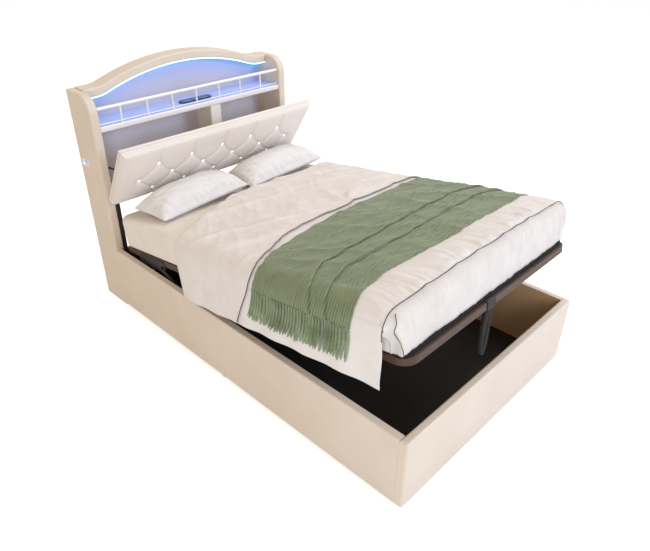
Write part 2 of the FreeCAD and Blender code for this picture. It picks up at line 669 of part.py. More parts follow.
def frame_loop(half, start, end, foot_radius, head_radius):
    """A rectangle with round corners, larger ones at the foot."""
    return [("-(%s) + %s" % (half, foot_radius), start), ("%s - (%s)" % (half, foot_radius), start),
            (half, "%s + %s" % (start, foot_radius), foot_radius, 1),
            (half, "%s - (%s)" % (end, head_radius)),
            ("%s - (%s)" % (half, head_radius), end, head_radius, 1),
            ("-(%s) + %s" % (half, head_radius), end),
            ("-(%s)" % half, "%s - (%s)" % (end, head_radius), head_radius, 1),
            ("-(%s)" % half, "%s + %s" % (start, foot_radius)),
            ("-(%s) + %s" % (half, foot_radius), start, foot_radius, 1)]


def platform_frame():
    inner_length = "frame_length - tube_width"
    loops = [closed(frame_loop("frame_half_width", "0", "frame_length", "tube_corner_radius",
                               "tube_head_radius")),
             closed(frame_loop("tube_inner", "tube_width", inner_length,
                               "(tube_corner_radius - tube_width)", "(tube_head_radius / 2)"))]
    node("platform_frame", slab("platform_frame", "XY", loops, "tube_height"), "platform")
    half, height = "crossbar_width / 2", ("0", "crossbar_height")
    bars = [box(("-" + half, half), ("tube_width", inner_length), height)]
    for number in range(1, int(d.crossbar_count) + 1):
        middle = "%d * frame_length / (crossbar_count + 1)" % number
        bars.append(box(("-tube_inner", "tube_inner"),
                        ("%s - %s" % (middle, half), "%s + %s" % (middle, half)), height))
    node("platform_cross_bars", fused(bars), "platform")


def slat_rows():
    """The middle of each slat row, in step from the foot to the head."""
    step = "(frame_length - 2 * tube_width - 2 * slat_end_gap) / (slat_count - 1)"
    return ["tube_width + slat_end_gap + %d * %s" % (number, step)
            for number in range(int(d.slat_count))]


def slat_boxes(play):
    """One slat each side of the middle bar in every row, each this much larger all round."""
    shapes = []
    for row in slat_rows():
        y = ("%s - slat_width / 2 - %s" % (row, play), "%s + slat_width / 2 + %s" % (row, play))
        z = ("slat_level - " + play, "slat_level + slat_thick + " + play)
        for side, _ in SIDES:
            x = between(side, "holder_length - slat_bite - " + play,
                        "tube_inner - holder_length + slat_bite + " + play)
            shapes.append(box(x, y, z))
    return group(shapes)


def slatting():
    node("slats", slat_boxes("0"), "platform")
    holders = []
    for row in slat_rows():
        y = ("%s - holder_width / 2" % row, "%s + holder_width / 2" % row)
        z = ("holder_level", "holder_level + holder_height")
        holders.append(box(("-holder_length", "holder_length"), y, z))
        holders += [box(between(side, "tube_inner - holder_length", "tube_inner"), y, z)
                    for side, _ in SIDES]
    node("slat_holders", cut(group(holders), slat_boxes("slat_play")), "platform")


def pull_strap():
    """A webbing loop that hangs straight down from the foot tube while the platform rests."""
    inner, outer = "strap_half_gap", "(strap_half_gap + strap_thick)"
    turn = "(strap_drop - %s)" % outer
    loop = [("-" + outer, "0"), ("-" + outer, "-" + turn),
            ("0", "-strap_drop", outer, 1), (outer, "-" + turn, outer, 1),
            (outer, "0"), (inner, "0"), (inner, "-" + turn),
            ("0", "-%s - %s" % (turn, inner), inner, -1), ("-" + inner, "-" + turn, inner, -1),
            ("-" + inner, "0")]
    hanging = slab("strap_loop", "XZ", [loop], "strap_webbing")
    hanging.Placement = FreeCAD.Placement(Vector(), FreeCAD.Rotation(Vector(1, 0, 0), 1))
    hanging.setExpression("Placement.Rotation.Angle", sized("platform_tilt"))
    place(hanging, ("0", "strap_webbing", "-soft_gap"))
    half = "strap_wrap_width / 2"
    over = ("-strap_thick - soft_gap", "duvet_foot_start - soft_gap")
    wrap = [box(("-" + half, half), over, ("tube_height + soft_gap",
                                           "tube_height + soft_gap + strap_thick")),
            box(("-" + half, half), (over[0], "-soft_gap"),
                ("-soft_gap - strap_thick", "tube_height + soft_gap + strap_thick")),
            box(("-" + half, half), (over[0], "tube_width + soft_gap + strap_thick"),
                ("-soft_gap - strap_thick", "-soft_gap"))]
    shift = place(fused([hanging] + wrap), ("-strap_offset", "0", "0"))
    node("pull_strap", group([shift]), "platform")


# Lift: base plates on the rails, arms, links, gas struts and the bars on the platform


def lift_bases(side, name):
    margin = "lift_plate_margin"
    spots = {key: ("%s_foot_y" % key, "%s_foot_z" % key) for key in ("arm", "link", "strut")}
    top = "arm_foot_z + " + margin
    loop = [("arm_foot_y - " + margin, "arm_foot_z - " + margin),
            ("strut_foot_y - 2 * " + margin, "strut_foot_z - " + margin),
            ("strut_foot_y + " + margin, "strut_foot_z - " + margin),
            ("strut_foot_y + " + margin, top), ("arm_foot_y - " + margin, top)]
    plate = slab("lift_plate", "YZ", [loop], "lift_plate_thick")
    corners = [(u, v) for u in ("YMin", "YMax") for v in ("ZMin", "ZMax")]
    rounded(plate, "lift_plate_round", corners)
    x = between(side, "lift_plate_inner", "rail_inner")
    pieces = [place(plate, (x[0], "0", "0"))]
    for key in ("arm", "link"):
        pieces.append(crosswise("pivot_head_radius",
                                between(side, "arm_outer + layer_gap", "lift_plate_inner"),
                                *spots[key]))
        pieces.append(crosswise("pivot_radius", between(side, "arm_inner", "lift_plate_inner"),
                                *spots[key]))
    spacer = "strut_centre + eye_thick / 2 + pivot_head_gap"
    pieces.append(crosswise("strut_spacer_radius", between(side, spacer, "lift_plate_inner"),
                            *spots["strut"]))
    pieces.append(crosswise("strut_pin_radius",
                            between(side, "strut_centre - eye_thick / 2", "lift_plate_inner"),
                            *spots["strut"]))
    node("lift_base_" + name, fused(pieces))


def lift_arms(side, name):
    """The arm turns on its base pin and carries the platform; the link follows beside it."""
    layer = between(side, "arm_inner", "arm_outer")
    hole = "pivot_radius + pivot_play"
    arm = slab("lift_arm_" + name, "YZ", [bar("arm_length", "arm_width / 2")], "arm_thick",
               (("0", "0", hole), ("arm_length", "0", hole)))
    node("lift_arm_" + name, place(arm, (layer[0], "0", "0"), "arm"))
    link = slab("lift_link_plate", "YZ", [bar("link_length", "arm_width / 2")], "arm_thick",
                (("0", "0", hole),))
    head = crosswise("pivot_head_radius",
                     between(side, "arm_outer", "arm_outer + pivot_head_height"), "link_length")
    node("lift_link_" + name, fused([place(link, (layer[0], "0", "0")), head]), "link")


def top_bar(side, name):
    """A bar on the platform's side that holds the pins of the arm, the link and the strut."""
    start, end = "(arm_along - top_bar_margin)", "(link_along + top_bar_margin)"
    radius = "top_bar_height / 2"
    body = slab("top_bar", "YZ", [bar("%s - %s - 2 * %s" % (end, start, radius), radius)],
                "top_bar_thick")
    x = between(side, "frame_half_width", "bar_outer")
    place(body, (x[0], "%s + %s" % (start, radius), "-top_bar_under + " + radius))
    pin = ("arm_along", "-pivot_drop")
    head = "arm_outer + pivot_head_gap"
    spare = "strut_centre + eye_thick / 2 + layer_gap"
    pieces = [body,
              crosswise("pivot_radius", between(side, "bar_outer", head), *pin),
              crosswise("pivot_head_radius", between(side, head, head + " + pivot_head_height"),
                        *pin),
              crosswise("strut_pin_radius", between(side, spare, "frame_half_width"),
                        "strut_along", "-pivot_drop")]
    node("lift_top_bar_" + name, fused(pieces), "platform")


def gas_strut(side, name):
    """A cylinder on the base pin, bored for its rod, and the rod with its end eye."""
    centre = "%+d * strut_centre" % side
    eye_x = ("%s - eye_thick / 2" % centre, "%s + eye_thick / 2" % centre)
    tube = fused([crosswise("eye_radius", eye_x),
                  rod("Y", "cylinder_radius", (centre, "cylinder_start", "0"),
                      "cylinder_length")])
    bores = group([rod("Y", "rod_radius + pivot_play", (centre, "bore_start", "0"),
                       "cylinder_start + cylinder_length - bore_start + overrun"),
                   crosswise("strut_pin_radius + pivot_play",
                             ("%s - overrun" % eye_x[0], "%s + overrun" % eye_x[1]))])
    node("strut_cylinder_" + name, cut(tube, bores), "strut")
    node("strut_rod_" + name,
         fused([rod("Y", "rod_radius", (centre, "rod_start", "0"), "strut_length - rod_start"),
                crosswise("eye_radius", eye_x, "strut_length")]), "strut")


# Headboard flap: board, tufted pad, buttons, hinges and folding stays


def tuft_spots():
    """Where the buttons sit: five, six and five, the middle row half a step aside."""
    spots = []
    for row, count in enumerate((5, 6, 5)):
        z = "flap_top - tuft_top_gap - %d * tuft_row_gap" % row
        spots += [("%g * tuft_pitch" % (number - (count - 1) / 2), z, row)
                  for number in range(count)]
    return spots


def dimple(x, z):
    cone = doc.addObject("Part::Cone", "dimple")
    cone.Placement = FreeCAD.Placement(Vector(), TURNS["-Y"])
    cone.setExpression("Radius1", sized("button_radius + soft_gap"))
    cone.setExpression("Radius2", sized("tuft_radius"))
    cone.setExpression("Height", sized("tuft_depth + flap_crown"))
    return place(cone, (x, "-pad_front + tuft_depth", z))


def button(x, z):
    """A dome, cut from a ball by the plane that it sits on."""
    dome = doc.addObject("Part::Sphere", "button")
    dome.Placement = FreeCAD.Placement(Vector(), TURNS["-Y"])
    dome.setExpression("Radius", sized("button_ball"))
    dome.setExpression("Angle1", sized("asin((button_ball - button_rise) / button_ball)"))
    return place(dome, (x, "-pad_front + tuft_depth + button_ball - button_rise", z))


def pleat(x, z):
    """A folded crease from a button of the top row up to the top edge."""
    half = "pleat_width / 2"
    face = "-pad_front - flap_crown"
    loop = [("-" + half, face), (half, face), ("0", "-pad_front + pleat_depth")]
    body = slab("pleat", "XY", [loop], "flap_top - (%s) + overrun" % z)
    return place(body, (x, "0", z))


def flap_panels():
    wide = ("-flap_half_width", "flap_half_width")
    board_y = ("-pad_back", "-flap_back")
    node("flap_board", board("flap_board", wide, board_y, ("flap_foot_gap", "flap_top")))
    place(nodes[-1], (wide[0], board_y[0], "flap_foot_gap"), "flap")
    bulge = "(flap_height * flap_height / 4 + flap_crown * flap_crown) / (2 * flap_crown)"
    loop = [("-pad_back", "flap_foot_gap"), ("-pad_back", "flap_top"), ("-pad_front", "flap_top"),
            ("-pad_front", "flap_foot_gap", bulge, 1)]
    pad = slab("pad", "YZ", [loop], "2 * flap_half_width")
    front = tuple((bound,) for bound in ("XMin", "XMax"))
    rounded(pad, "flap_round", front + (("ZMax",), ("ZMin",)), ("YMax",))
    place(pad, (wide[0], "0", "0"))
    tools = [dimple(x, z) for x, z, _ in tuft_spots()]
    tools += [pleat(x, z) for x, z, row in tuft_spots() if row == 0]
    node("flap_cushion", cut(pad, group(tools)), "flap")
    node("flap_buttons", group([button(x, z) for x, z, _ in tuft_spots()]), "flap")


def knuckles(x, number):
    """The two outer knuckles of a hinge, or its middle one, as spans across the bed."""
    step = "(knuckle_length + knuckle_gap)"
    middles = ("%s %+d * %s" % (x, number, step)).replace("+0 * " + step, "")
    return ("%s - knuckle_length / 2" % middles, "%s + knuckle_length / 2" % middles)


def flap_hinges():
    """Fixed leaves with their pins on the compartment floor, and straps on the flap's back."""
    leaves, straps = [], []
    for way in (-1, 0, 1):
        x = "%d * hinge_pitch" % way
        outer = [knuckles(x, number) for number in (-1, 1)]
        middle = knuckles(x, 0)
        reach = (outer[0][0], outer[1][1])
        leaf = [box(span, ("leaf_reach", "flap_back"), ("hinge_drop - leaf_height", "hinge_drop"))
                for span in outer]
        leaf.append(box(reach, ("leaf_reach", "flap_back"),
                        ("hinge_drop - leaf_height", "-knuckle_radius - knuckle_gap")))
        leaf += [crosswise("knuckle_radius", span) for span in outer]
        leaves.append(fused(leaf + [crosswise("hinge_pin_radius", reach)]))
        strap = fused([crosswise("knuckle_radius", middle),
                       box(middle, ("-flap_back", "-leaf_reach"), ("0", "strap_leaf_height"))])
        straps.append(cut(strap, crosswise("hinge_pin_radius + pivot_play", reach)))
    node("flap_hinge_leaves", place(group(leaves), ("0", "hinge_y", "hinge_z")))
    node("flap_hinge_straps", group(straps), "flap")


def flap_stays():
    """Two-bar folding stays between the posts and the flap."""
    hole = "stay_pin_radius + pivot_play"
    radius = "stay_width / 2"
    plates, ears = [], []
    for side, name in SIDES:
        plates.append(fused([
            crosswise("stay_plate_radius", between(side, "stay_plate_inner", "post_inner")),
            crosswise("stay_pin_radius", between(side, "stay_lower_inner", "post_inner"))]))
        layer = between(side, "stay_lower_inner", "stay_lower_inner + stay_thick")
        lower = slab("stay_bar", "YZ", [bar("stay_length", radius)], "stay_thick",
                     (("0", "0", hole),))
        knee = crosswise("stay_pin_radius", between(side, "stay_upper_inner", "stay_lower_inner"),
                         "stay_length")
        node("stay_lower_" + name, fused([place(lower, (layer[0], "0", "0")), knee]), "lower stay")
        layer = between(side, "stay_upper_inner", "stay_upper_inner + stay_thick")
        upper = slab("stay_upper_" + name, "YZ", [bar("stay_length", radius)], "stay_thick",
                     (("0", "0", hole),))
        node("stay_upper_" + name, place(upper, (layer[0], "0", "0"), "upper stay"))
        ear = slab("ear", "YZ", [bar("flap_back", "stay_ear_radius")], "stay_ear_thick")
        layer = between(side, "stay_ear_inner", "stay_ear_inner + stay_ear_thick")
        foot = between(side, "stay_ear_inner + stay_ear_thick - stay_foot_width",
                       "stay_ear_inner + stay_ear_thick")
        trimmed = cut(place(ear, (layer[0], "-flap_back", "stay_ear_level")),
                      box(layer, ("-flap_back - stay_ear_radius", "-flap_back"),
                          ("stay_ear_level - stay_ear_radius", "stay_ear_level + stay_ear_radius")))
        ears.append(fused([trimmed, box(foot, ("-flap_back", "-flap_back + leaf_thick"),
                                        ("stay_ear_level - stay_foot_height / 2",
                                         "stay_ear_level + stay_foot_height / 2"))]))
    node("stay_anchor_plates", place(group(plates), ("0", "stay_foot_y", "stay_foot_z")))
    node("flap_stay_brackets", group(ears), "flap")


# Bedding: mattress, duvet, throw and pillows


def mattress():
    loop = frame_loop("mattress_half_width", "mattress_start", "mattress_head",
                      "mattress_corner", "mattress_corner")
    body = slab("mattress", "XY", [closed(loop)], "mattress_thick")
    rounded(body, "mattress_edge", (("ZMax",), ("ZMin",)))
    node("mattress", place(body, ("0", "0", "mattress_under"), "platform"))


def wire(points):
    """A closed outline through (point,) for a line and (middle, point) for an arc."""
    edges = []
    for number, step in enumerate(points):
        start, end = points[number - 1][-1], step[-1]
        edges.append(Part.Arc(start, step[0], end).toShape() if len(step) > 1
                     else Part.makeLine(start, end))
    return Part.Wire(edges)


def draped_outline(y, half, drop, top, thick, side_thick, crown):
    """A cloth's section across the bed: a crowned top, round shoulders and two hanging sides."""
    shoulder = d.duvet_shoulder

    def line(reach, height, lift, way):
        bend = (1 - math.sqrt(0.5)) * shoulder
        corner = height - shoulder
        points = [(Vector(-reach, y, drop),), (Vector(-reach, y, corner),),
                  (Vector(-reach + bend, y, height - bend), Vector(-reach + shoulder, y, height)),
                  ((Vector(0, y, height + lift),) if lift else ()) + (
                      Vector(reach - shoulder, y, height),),
                  (Vector(reach - bend, y, height - bend), Vector(reach, y, corner)),
                  (Vector(reach, y, drop),)]
        if way > 0:
            return points
        ends = [step[-1] for step in points][::-1]
        middles = [step[:-1] for step in points][:0:-1]
        return [(ends[0],)] + [middle + (end,) for middle, end in zip(middles, ends[1:])]

    outside = line(half, top, crown, 1)
    inside = line(half - side_thick, top - thick, 0, -1)
    return wire(outside + inside)


def fold(number):
    """How far a hanging side stands out at a station: the folds go in and out by turns."""
    return d.duvet_fold * (number % 2)


def stations(start, end):
    """Places along the bed where the hanging cloth folds, with both ends."""
    first = math.ceil(start / d.duvet_fold_pitch)
    last = math.ceil(end / d.duvet_fold_pitch)
    inside = [(number * d.duvet_fold_pitch, fold(number)) for number in range(first, last)
              if start + d.same_place < number * d.duvet_fold_pitch < end - d.same_place]
    return inside


def fold_at(y):
    """The same folds' reach at any place between two stations."""
    number = math.floor(y / d.duvet_fold_pitch)
    part = y / d.duvet_fold_pitch - number
    return fold(number) * (1 - part) + fold(number + 1) * part


def duvet():
    lead = d.duvet_foot_corner + d.duvet_corner_fall
    places = [(lead, fold_at(lead))] + stations(lead, d.duvet_end)
    places.append((d.duvet_end, fold_at(d.duvet_end)))
    foot = draped_outline(d.duvet_foot_start + d.soft_gap, d.rail_outer - d.duvet_side_thick,
                          d.duvet_foot_lift, d.duvet_top, d.duvet_top_thick, d.duvet_side_thick,
                          d.duvet_crown)
    corner = draped_outline(d.duvet_foot_corner, d.duvet_outer, d.duvet_corner_lift, d.duvet_top,
                            d.duvet_top_thick, d.duvet_side_thick, d.duvet_crown)
    outlines = [foot, corner] + [
        draped_outline(y, d.duvet_outer + out, -d.duvet_drop, d.duvet_top, d.duvet_top_thick,
                       d.duvet_side_thick, d.duvet_crown) for y, out in places]
    cover = Part.makeLoft(outlines, True, True)
    reach = d.duvet_outer + d.duvet_fold + d.overrun
    corner = [Vector(-reach, d.duvet_end - d.duvet_slant_run, -d.duvet_drop - d.overrun),
              Vector(-d.duvet_slant_reach, d.duvet_end + d.overrun, -d.duvet_drop - d.overrun),
              Vector(-reach, d.duvet_end + d.overrun, -d.duvet_drop - d.overrun)]
    slant = Part.Face(Part.makePolygon(corner + corner[:1])).extrude(
        Vector(0, 0, d.duvet_top + d.duvet_crown + d.duvet_drop + 2 * d.overrun))
    cover = cover.cut(slant)
    front = Part.makeBox(2 * d.mattress_half_width,
                         d.mattress_start - d.soft_gap - d.duvet_foot_start,
                         d.duvet_top - d.duvet_foot_round - d.duvet_foot_level,
                         Vector(-d.mattress_half_width, d.duvet_foot_start, d.duvet_foot_level))
    formed("duvet", cover.fuse(front).removeSplitter(), "platform")


def throw():
    """A folded blanket laid across the duvet, hanging a little over each side."""
    gap = d.soft_gap
    places = [(d.throw_start, fold_at(d.throw_start))] + stations(d.throw_start, d.throw_end)
    places.append((d.throw_end, fold_at(d.throw_end)))
    outlines = [
        draped_outline(y, d.duvet_outer + out + gap + d.throw_thick, -d.throw_drop,
                       d.duvet_top + gap + d.throw_thick + d.duvet_crown, d.throw_thick,
                       d.throw_thick, 0) for y, out in places]
    formed("throw", Part.makeLoft(outlines, True, True), "platform")


PILLOW_STATION_SHARES = (-1, -0.86, -0.55, 0, 0.55, 0.86, 1)


def pillow_shape():
    """A pillow with a full middle, thin seams and sides drawn in between its corners."""
    outlines = []
    for share in PILLOW_STATION_SHARES:
        full = math.sqrt(max(0, math.cos(share * math.pi / 2)))
        x = share * d.pillow_width / 2
        half = d.pillow_depth / 2 - d.pillow_draw * full
        edge = d.pillow_edge / 2
        rise, sag = d.pillow_rise * full, d.pillow_sag * full
        outlines.append(wire([
            (Vector(x, 0, -2 * edge - sag), Vector(x, half, -edge)), (Vector(x, half, edge),),
            (Vector(x, 0, 2 * edge + rise), Vector(x, -half, edge)), (Vector(x, -half, -edge),)]))
    return Part.makeLoft(outlines, True, False)


def pillows():
    """Two pillows side by side under the flap, each rolled and turned a little."""
    middle = d.pillow_front + d.pillow_depth / 2
    level = d.duvet_under + d.pillow_sag + d.pillow_edge + d.pillow_lift
    left, right = pillow_shape(), pillow_shape()
    for pillow in (left, right):
        pillow.rotate(Vector(), Vector(0, 1, 0), -d.pillow_roll)
    left.rotate(Vector(), Vector(0, 0, 1), d.pillow_left_turn)
    left.translate(Vector(-d.pillow_left_centre, middle - d.pillow_left_forward, level))
    right.rotate(Vector(), Vector(0, 0, 1), d.pillow_right_turn)
    right.translate(Vector(d.pillow_right_centre, middle, level))
    formed("pillow_left", Part.makeCompound([left]), "platform")
    formed("pillow_right", Part.makeCompound([right]), "platform")


base_boards()
floor_supports()
brackets()
headboard_shell()
headboard_boards()
guard_rail()
shelf_fittings()
post_fittings()
platform_frame()
slatting()
pull_strap()
for side, name in SIDES:
    lift_bases(side, name)
    lift_arms(side, name)
    top_bar(side, name)
    gas_strut(side, name)
flap_panels()
flap_hinges()
flap_stays()
mattress()
duvet()
throw()
pillows()
doc.recompute()

failed = [part.Label for part in doc.Objects
          if "Invalid" in part.State or "Error" in part.State]
failed += [piece.Label for piece in nodes if piece.Shape.isNull() or not piece.Shape.isValid()]
if failed:
    raise SystemExit("Not made: " + ", ".join(failed))

os.makedirs("parts", exist_ok=True)
for piece in nodes:
    piece.Shape.exportStep("parts/%s.step" % piece.Label)
print(len(nodes), "pieces written")
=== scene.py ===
# %% [markdown]
# # A storage bed with a lifting platform
#
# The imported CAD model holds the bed's real sizes, and this lesson dresses it. Boards, steel
# and rails keep their CAD meshes and get materials. Everything soft, from the tufted flap to
# the blanket's fringe, is modelled again here as cloth.

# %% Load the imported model
import math
import random

import bpy
from mathutils import Matrix, Vector, noise


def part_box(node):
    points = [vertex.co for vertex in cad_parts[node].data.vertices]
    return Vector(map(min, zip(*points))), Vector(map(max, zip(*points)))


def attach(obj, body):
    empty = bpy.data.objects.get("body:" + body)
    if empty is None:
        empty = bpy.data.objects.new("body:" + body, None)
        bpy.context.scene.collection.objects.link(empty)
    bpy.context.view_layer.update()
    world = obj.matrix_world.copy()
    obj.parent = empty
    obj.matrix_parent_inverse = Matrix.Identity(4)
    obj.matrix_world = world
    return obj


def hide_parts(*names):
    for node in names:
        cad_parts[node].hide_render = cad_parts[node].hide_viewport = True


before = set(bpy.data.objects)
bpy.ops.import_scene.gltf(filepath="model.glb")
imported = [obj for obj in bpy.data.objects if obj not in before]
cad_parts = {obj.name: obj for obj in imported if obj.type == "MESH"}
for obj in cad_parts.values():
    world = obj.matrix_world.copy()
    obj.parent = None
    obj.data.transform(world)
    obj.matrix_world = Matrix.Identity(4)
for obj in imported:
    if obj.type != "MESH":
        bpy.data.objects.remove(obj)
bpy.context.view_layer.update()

# %% [markdown]
# ## Sizes and places
#
# Sizes are written in millimetres, as a bed maker would give them. The platform and the flap
# are tilted on this bed, so each has a frame of its own, which is a matrix. A piece is laid
# out flat in that frame, and the matrix carries its points to where they stand in the room.

# %% Sizes and frames
MM = 0.001
PLATFORM_TILT, PLATFORM_Y, PLATFORM_Z = 8.6, -1030, 632
FLAP_TILT, FLAP_Y, FLAP_Z = 32, 885, 648

PLATFORM = (Matrix.Translation((0, PLATFORM_Y * MM, PLATFORM_Z * MM))
            @ Matrix.Rotation(math.radians(-PLATFORM_TILT), 4, "X") @ Matrix.Scale(MM, 4))
FLAP = (Matrix.Translation((0, FLAP_Y * MM, FLAP_Z * MM))
        @ Matrix.Rotation(math.radians(FLAP_TILT), 4, "X") @ Matrix.Scale(MM, 4))
ROOM = Matrix.Scale(MM, 4)
print("platform starts at", [round(v, 3) for v in PLATFORM @ Vector((0, 0, 0))])

# %% [markdown]
# ## Camera
#
# The photographer stood at the foot on the left and looked down across the bed. The camera's
# axes are built from an azimuth, an elevation and a small roll.

# %% Camera
AZIMUTH, ELEVATION, ROLL = map(math.radians, (-46.23, 31.73, 0.46))
away = Vector((math.sin(AZIMUTH) * math.cos(ELEVATION), -math.cos(AZIMUTH) * math.cos(ELEVATION),
               math.sin(ELEVATION)))
level = Vector((0, 0, 1)).cross(away).normalized()
upright = away.cross(level)
across = level * math.cos(ROLL) + upright * math.sin(ROLL)
above = upright * math.cos(ROLL) - level * math.sin(ROLL)
camera = bpy.data.objects.new("camera", bpy.data.cameras.new("camera"))
camera.matrix_world = Matrix.Translation((-1.9151, -1.909, 1.971)) @ Matrix(
    (across, above, away)).transposed().to_4x4()
camera.data.lens = 36 * 607.4 / 650
bpy.context.scene.collection.objects.link(camera)
bpy.context.scene.camera = camera
print("camera lens", round(camera.data.lens, 2), "mm")

# %% [markdown]
# ## Studio
#
# A pale floor and a white surround. The world is white where it is seen, straight or in a
# reflection, and a softer warm tone where it lights the bed. A broad cool lamp stands at the
# foot, so the footboard is bright. A weaker one on the left fades along the rail, so the long
# side falls into warm shade by the headboard, as photographed.

# %% Colours and nodes


def linear(colour):
    """Turns an sRGB hex colour to the linear values that a shader takes."""
    parts = [int(colour[i:i + 2], 16) / 255 for i in (1, 3, 5)]
    return tuple(c / 12.92 if c <= 0.04045 else ((c + 0.055) / 1.055) ** 2.4
                 for c in parts) + (1.0,)


def add(tree, kind, links=None, values=None, **settings):
    """Adds a node with its settings, its sockets' values and links from (node, output)."""
    node = tree.nodes.new("ShaderNode" + kind)
    for name, value in settings.items():
        setattr(node, name, value)
    for name, value in (values or {}).items():
        node.inputs[name].default_value = value
    for name, (source, output) in (links or {}).items():
        tree.links.new(source.outputs[output], node.inputs[name])
    return node


def blend(tree, share, *stops):
    """A colour ramp that runs through (place, colour) stops, from the lowest to the highest."""
    ramp = add(tree, "ValToRGB", {"Fac": share})
    elements = ramp.color_ramp.elements
    for element, (place, colour) in zip(elements, (stops[0], stops[-1])):
        element.position, element.color = place, linear(colour)
    for place, colour in stops[1:-1]:
        elements.new(place).color = linear(colour)
    return ramp


# %% World, floor and lamps
world = bpy.data.worlds.new("surround")
bpy.context.scene.world = world
world.use_nodes = True
tree = world.node_tree
tree.nodes.clear()
rays = add(tree, "LightPath")
glossy = add(tree, "Math", {0: (rays, "Is Camera Ray"), 1: (rays, "Is Glossy Ray")},
             operation="MAXIMUM")
seen = add(tree, "Math", {0: (glossy, 0), 1: (rays, "Is Transmission Ray")},
           operation="MAXIMUM")
AMBIENT = 0.72
strength = add(tree, "MapRange", {"Value": (seen, 0)}, {"To Min": AMBIENT, "To Max": 1.0})
warmth = blend(tree, (seen, 0), (0, "#FFF1DF"), (1, "#FFFFFF"))
surround = add(tree, "Background", {"Strength": (strength, 0), "Color": (warmth, 0)})
add(tree, "OutputWorld", {"Surface": (surround, 0)})

floor = bpy.data.objects.new("floor", bpy.data.meshes.new("floor"))
FLOOR_REACH = 12
floor.data.from_pydata([(x, y, -0.0005) for x, y in ((-FLOOR_REACH, -FLOOR_REACH),
                        (FLOOR_REACH, -FLOOR_REACH), (FLOOR_REACH, FLOOR_REACH),
                        (-FLOOR_REACH, FLOOR_REACH))], [], [(0, 1, 2, 3)])
bpy.context.scene.collection.objects.link(floor)
paper = bpy.data.materials.new("studio paper")
paper.use_nodes = True
tree = paper.node_tree
tree.nodes.clear()
matt = add(tree, "BsdfDiffuse", values={"Color": linear("#F4F4F4")})
rays = add(tree, "LightPath")
lift = add(tree, "MapRange", {"Value": (rays, "Is Camera Ray")}, {"To Min": 0, "To Max": 0.55})
glow = add(tree, "Emission", {"Strength": (lift, 0)}, {"Color": linear("#FFFFFF")})
both = add(tree, "AddShader", {0: (matt, 0), 1: (glow, 0)})
add(tree, "OutputMaterial", {"Surface": (both, 0)})
floor.data.materials.append(paper)


def lamp(name, place, aim, size, power, colour):
    """A square soft lamp that looks from its place at a point."""
    light = bpy.data.lights.new(name, "AREA")
    light.size, light.energy, light.color = size, power, linear(colour)[:3]
    stand = bpy.data.objects.new(name, light)
    stand.location = place
    stand.rotation_euler = (Vector(aim) - Vector(place)).to_track_quat("-Z", "Y").to_euler()
    bpy.context.scene.collection.objects.link(stand)


lamp("foot lamp", (2.2, -4.4, 2.8), (0, 0, 0.5), 1.6, 130, "#C4DBFF")
lamp("side lamp", (-3.6, -3.2, 1.6), (-0.6, -0.6, 0.4), 1.4, 60, "#DCE9FF")
lamp("top lamp", (2.0, 0.4, 4.2), (0, 0, 0.4), 1.2, 40, "#F0F5FF")
bpy.context.scene.view_settings.view_transform = "Standard"
print("lamps placed, ambient", AMBIENT)

# %% [markdown]
# ## Materials of the carcass
#
# Each finish starts from what the real surface is. Patterns are placed by the object's own
# coordinates, in metres, so a pattern with features of p millimetres has the scale 1000 / p.

# %% A finish
def finish(name, colour, roughness, **values):
    """A material with one principled shader, and the place on the piece to drive patterns."""
    material = bpy.data.materials.new(name)
    material.use_nodes = True
    tree = material.node_tree
    tree.nodes.clear()
    sockets = {"Base Color": linear(colour), "Roughness": roughness}
    sockets.update({key.replace("_", " "): value for key, value in values.items()})
    shader = add(tree, "BsdfPrincipled", values=sockets)
    add(tree, "OutputMaterial", {"Surface": (shader, "BSDF")})
    spot = add(tree, "TexCoord")
    return material, tree, shader, spot


def tinted(tree, shader, pattern, dark, light, low=0.3, high=0.7):
    """Colours the surface between two tints by a pattern."""
    ramp = blend(tree, pattern, (low, dark), (high, light))
    tree.links.new(ramp.outputs["Color"], shader.inputs["Base Color"])


def raised(tree, shader, pattern, height, strength=1.0, before=None):
    """Gives the surface a relief whose height is in millimetres."""
    links = {"Height": pattern}
    if before:
        links["Normal"] = (before, "Normal")
    bump = add(tree, "Bump", links, {"Distance": height * MM, "Strength": strength})
    tree.links.new(bump.outputs["Normal"], shader.inputs["Normal"])
    return bump


# %% [markdown]
# Polyurethane leather is a thin film on cloth, pulled over foam. Its grain is a net of small
# pebbles about 1.5 mm wide, and over a wide board the padding shows as faint, slow waves.

# %% Polyurethane leather
def leather(name, dark, light, roughness):
    material, tree, shader, spot = finish(name, light, roughness, IOR=1.5)
    grain = add(tree, "TexVoronoi", {"Vector": (spot, "Object")}, {"Scale": 1000 / 1.6},
                feature="SMOOTH_F1")
    waves = add(tree, "TexNoise", {"Vector": (spot, "Object")},
                {"Scale": 1000 / 260, "Detail": 2})
    tinted(tree, shader, (waves, "Fac"), dark, light, 0.3, 0.7)
    slow = raised(tree, shader, (waves, "Fac"), 2.0, 0.25)
    raised(tree, shader, (grain, "Distance"), 0.12, 0.5, slow)
    return material


upholstery = leather("cream polyurethane leather", "#DCCDBA", "#E2D4C2", 0.46)
# The flap is the same leather given a lighter, less yellow colour: painted light.
flap_leather_painted_lighter = leather("cream polyurethane leather, painted lighter on the flap", "#E4DBD1", "#E9E1D8", 0.42)
print("leather grain scale", 1000 / 1.6)

# %% [markdown]
# The rails are covered outside and on top only. Their inner faces, which look into the storage
# box, are bare particle board, so one material shows board wherever a point lies inward.

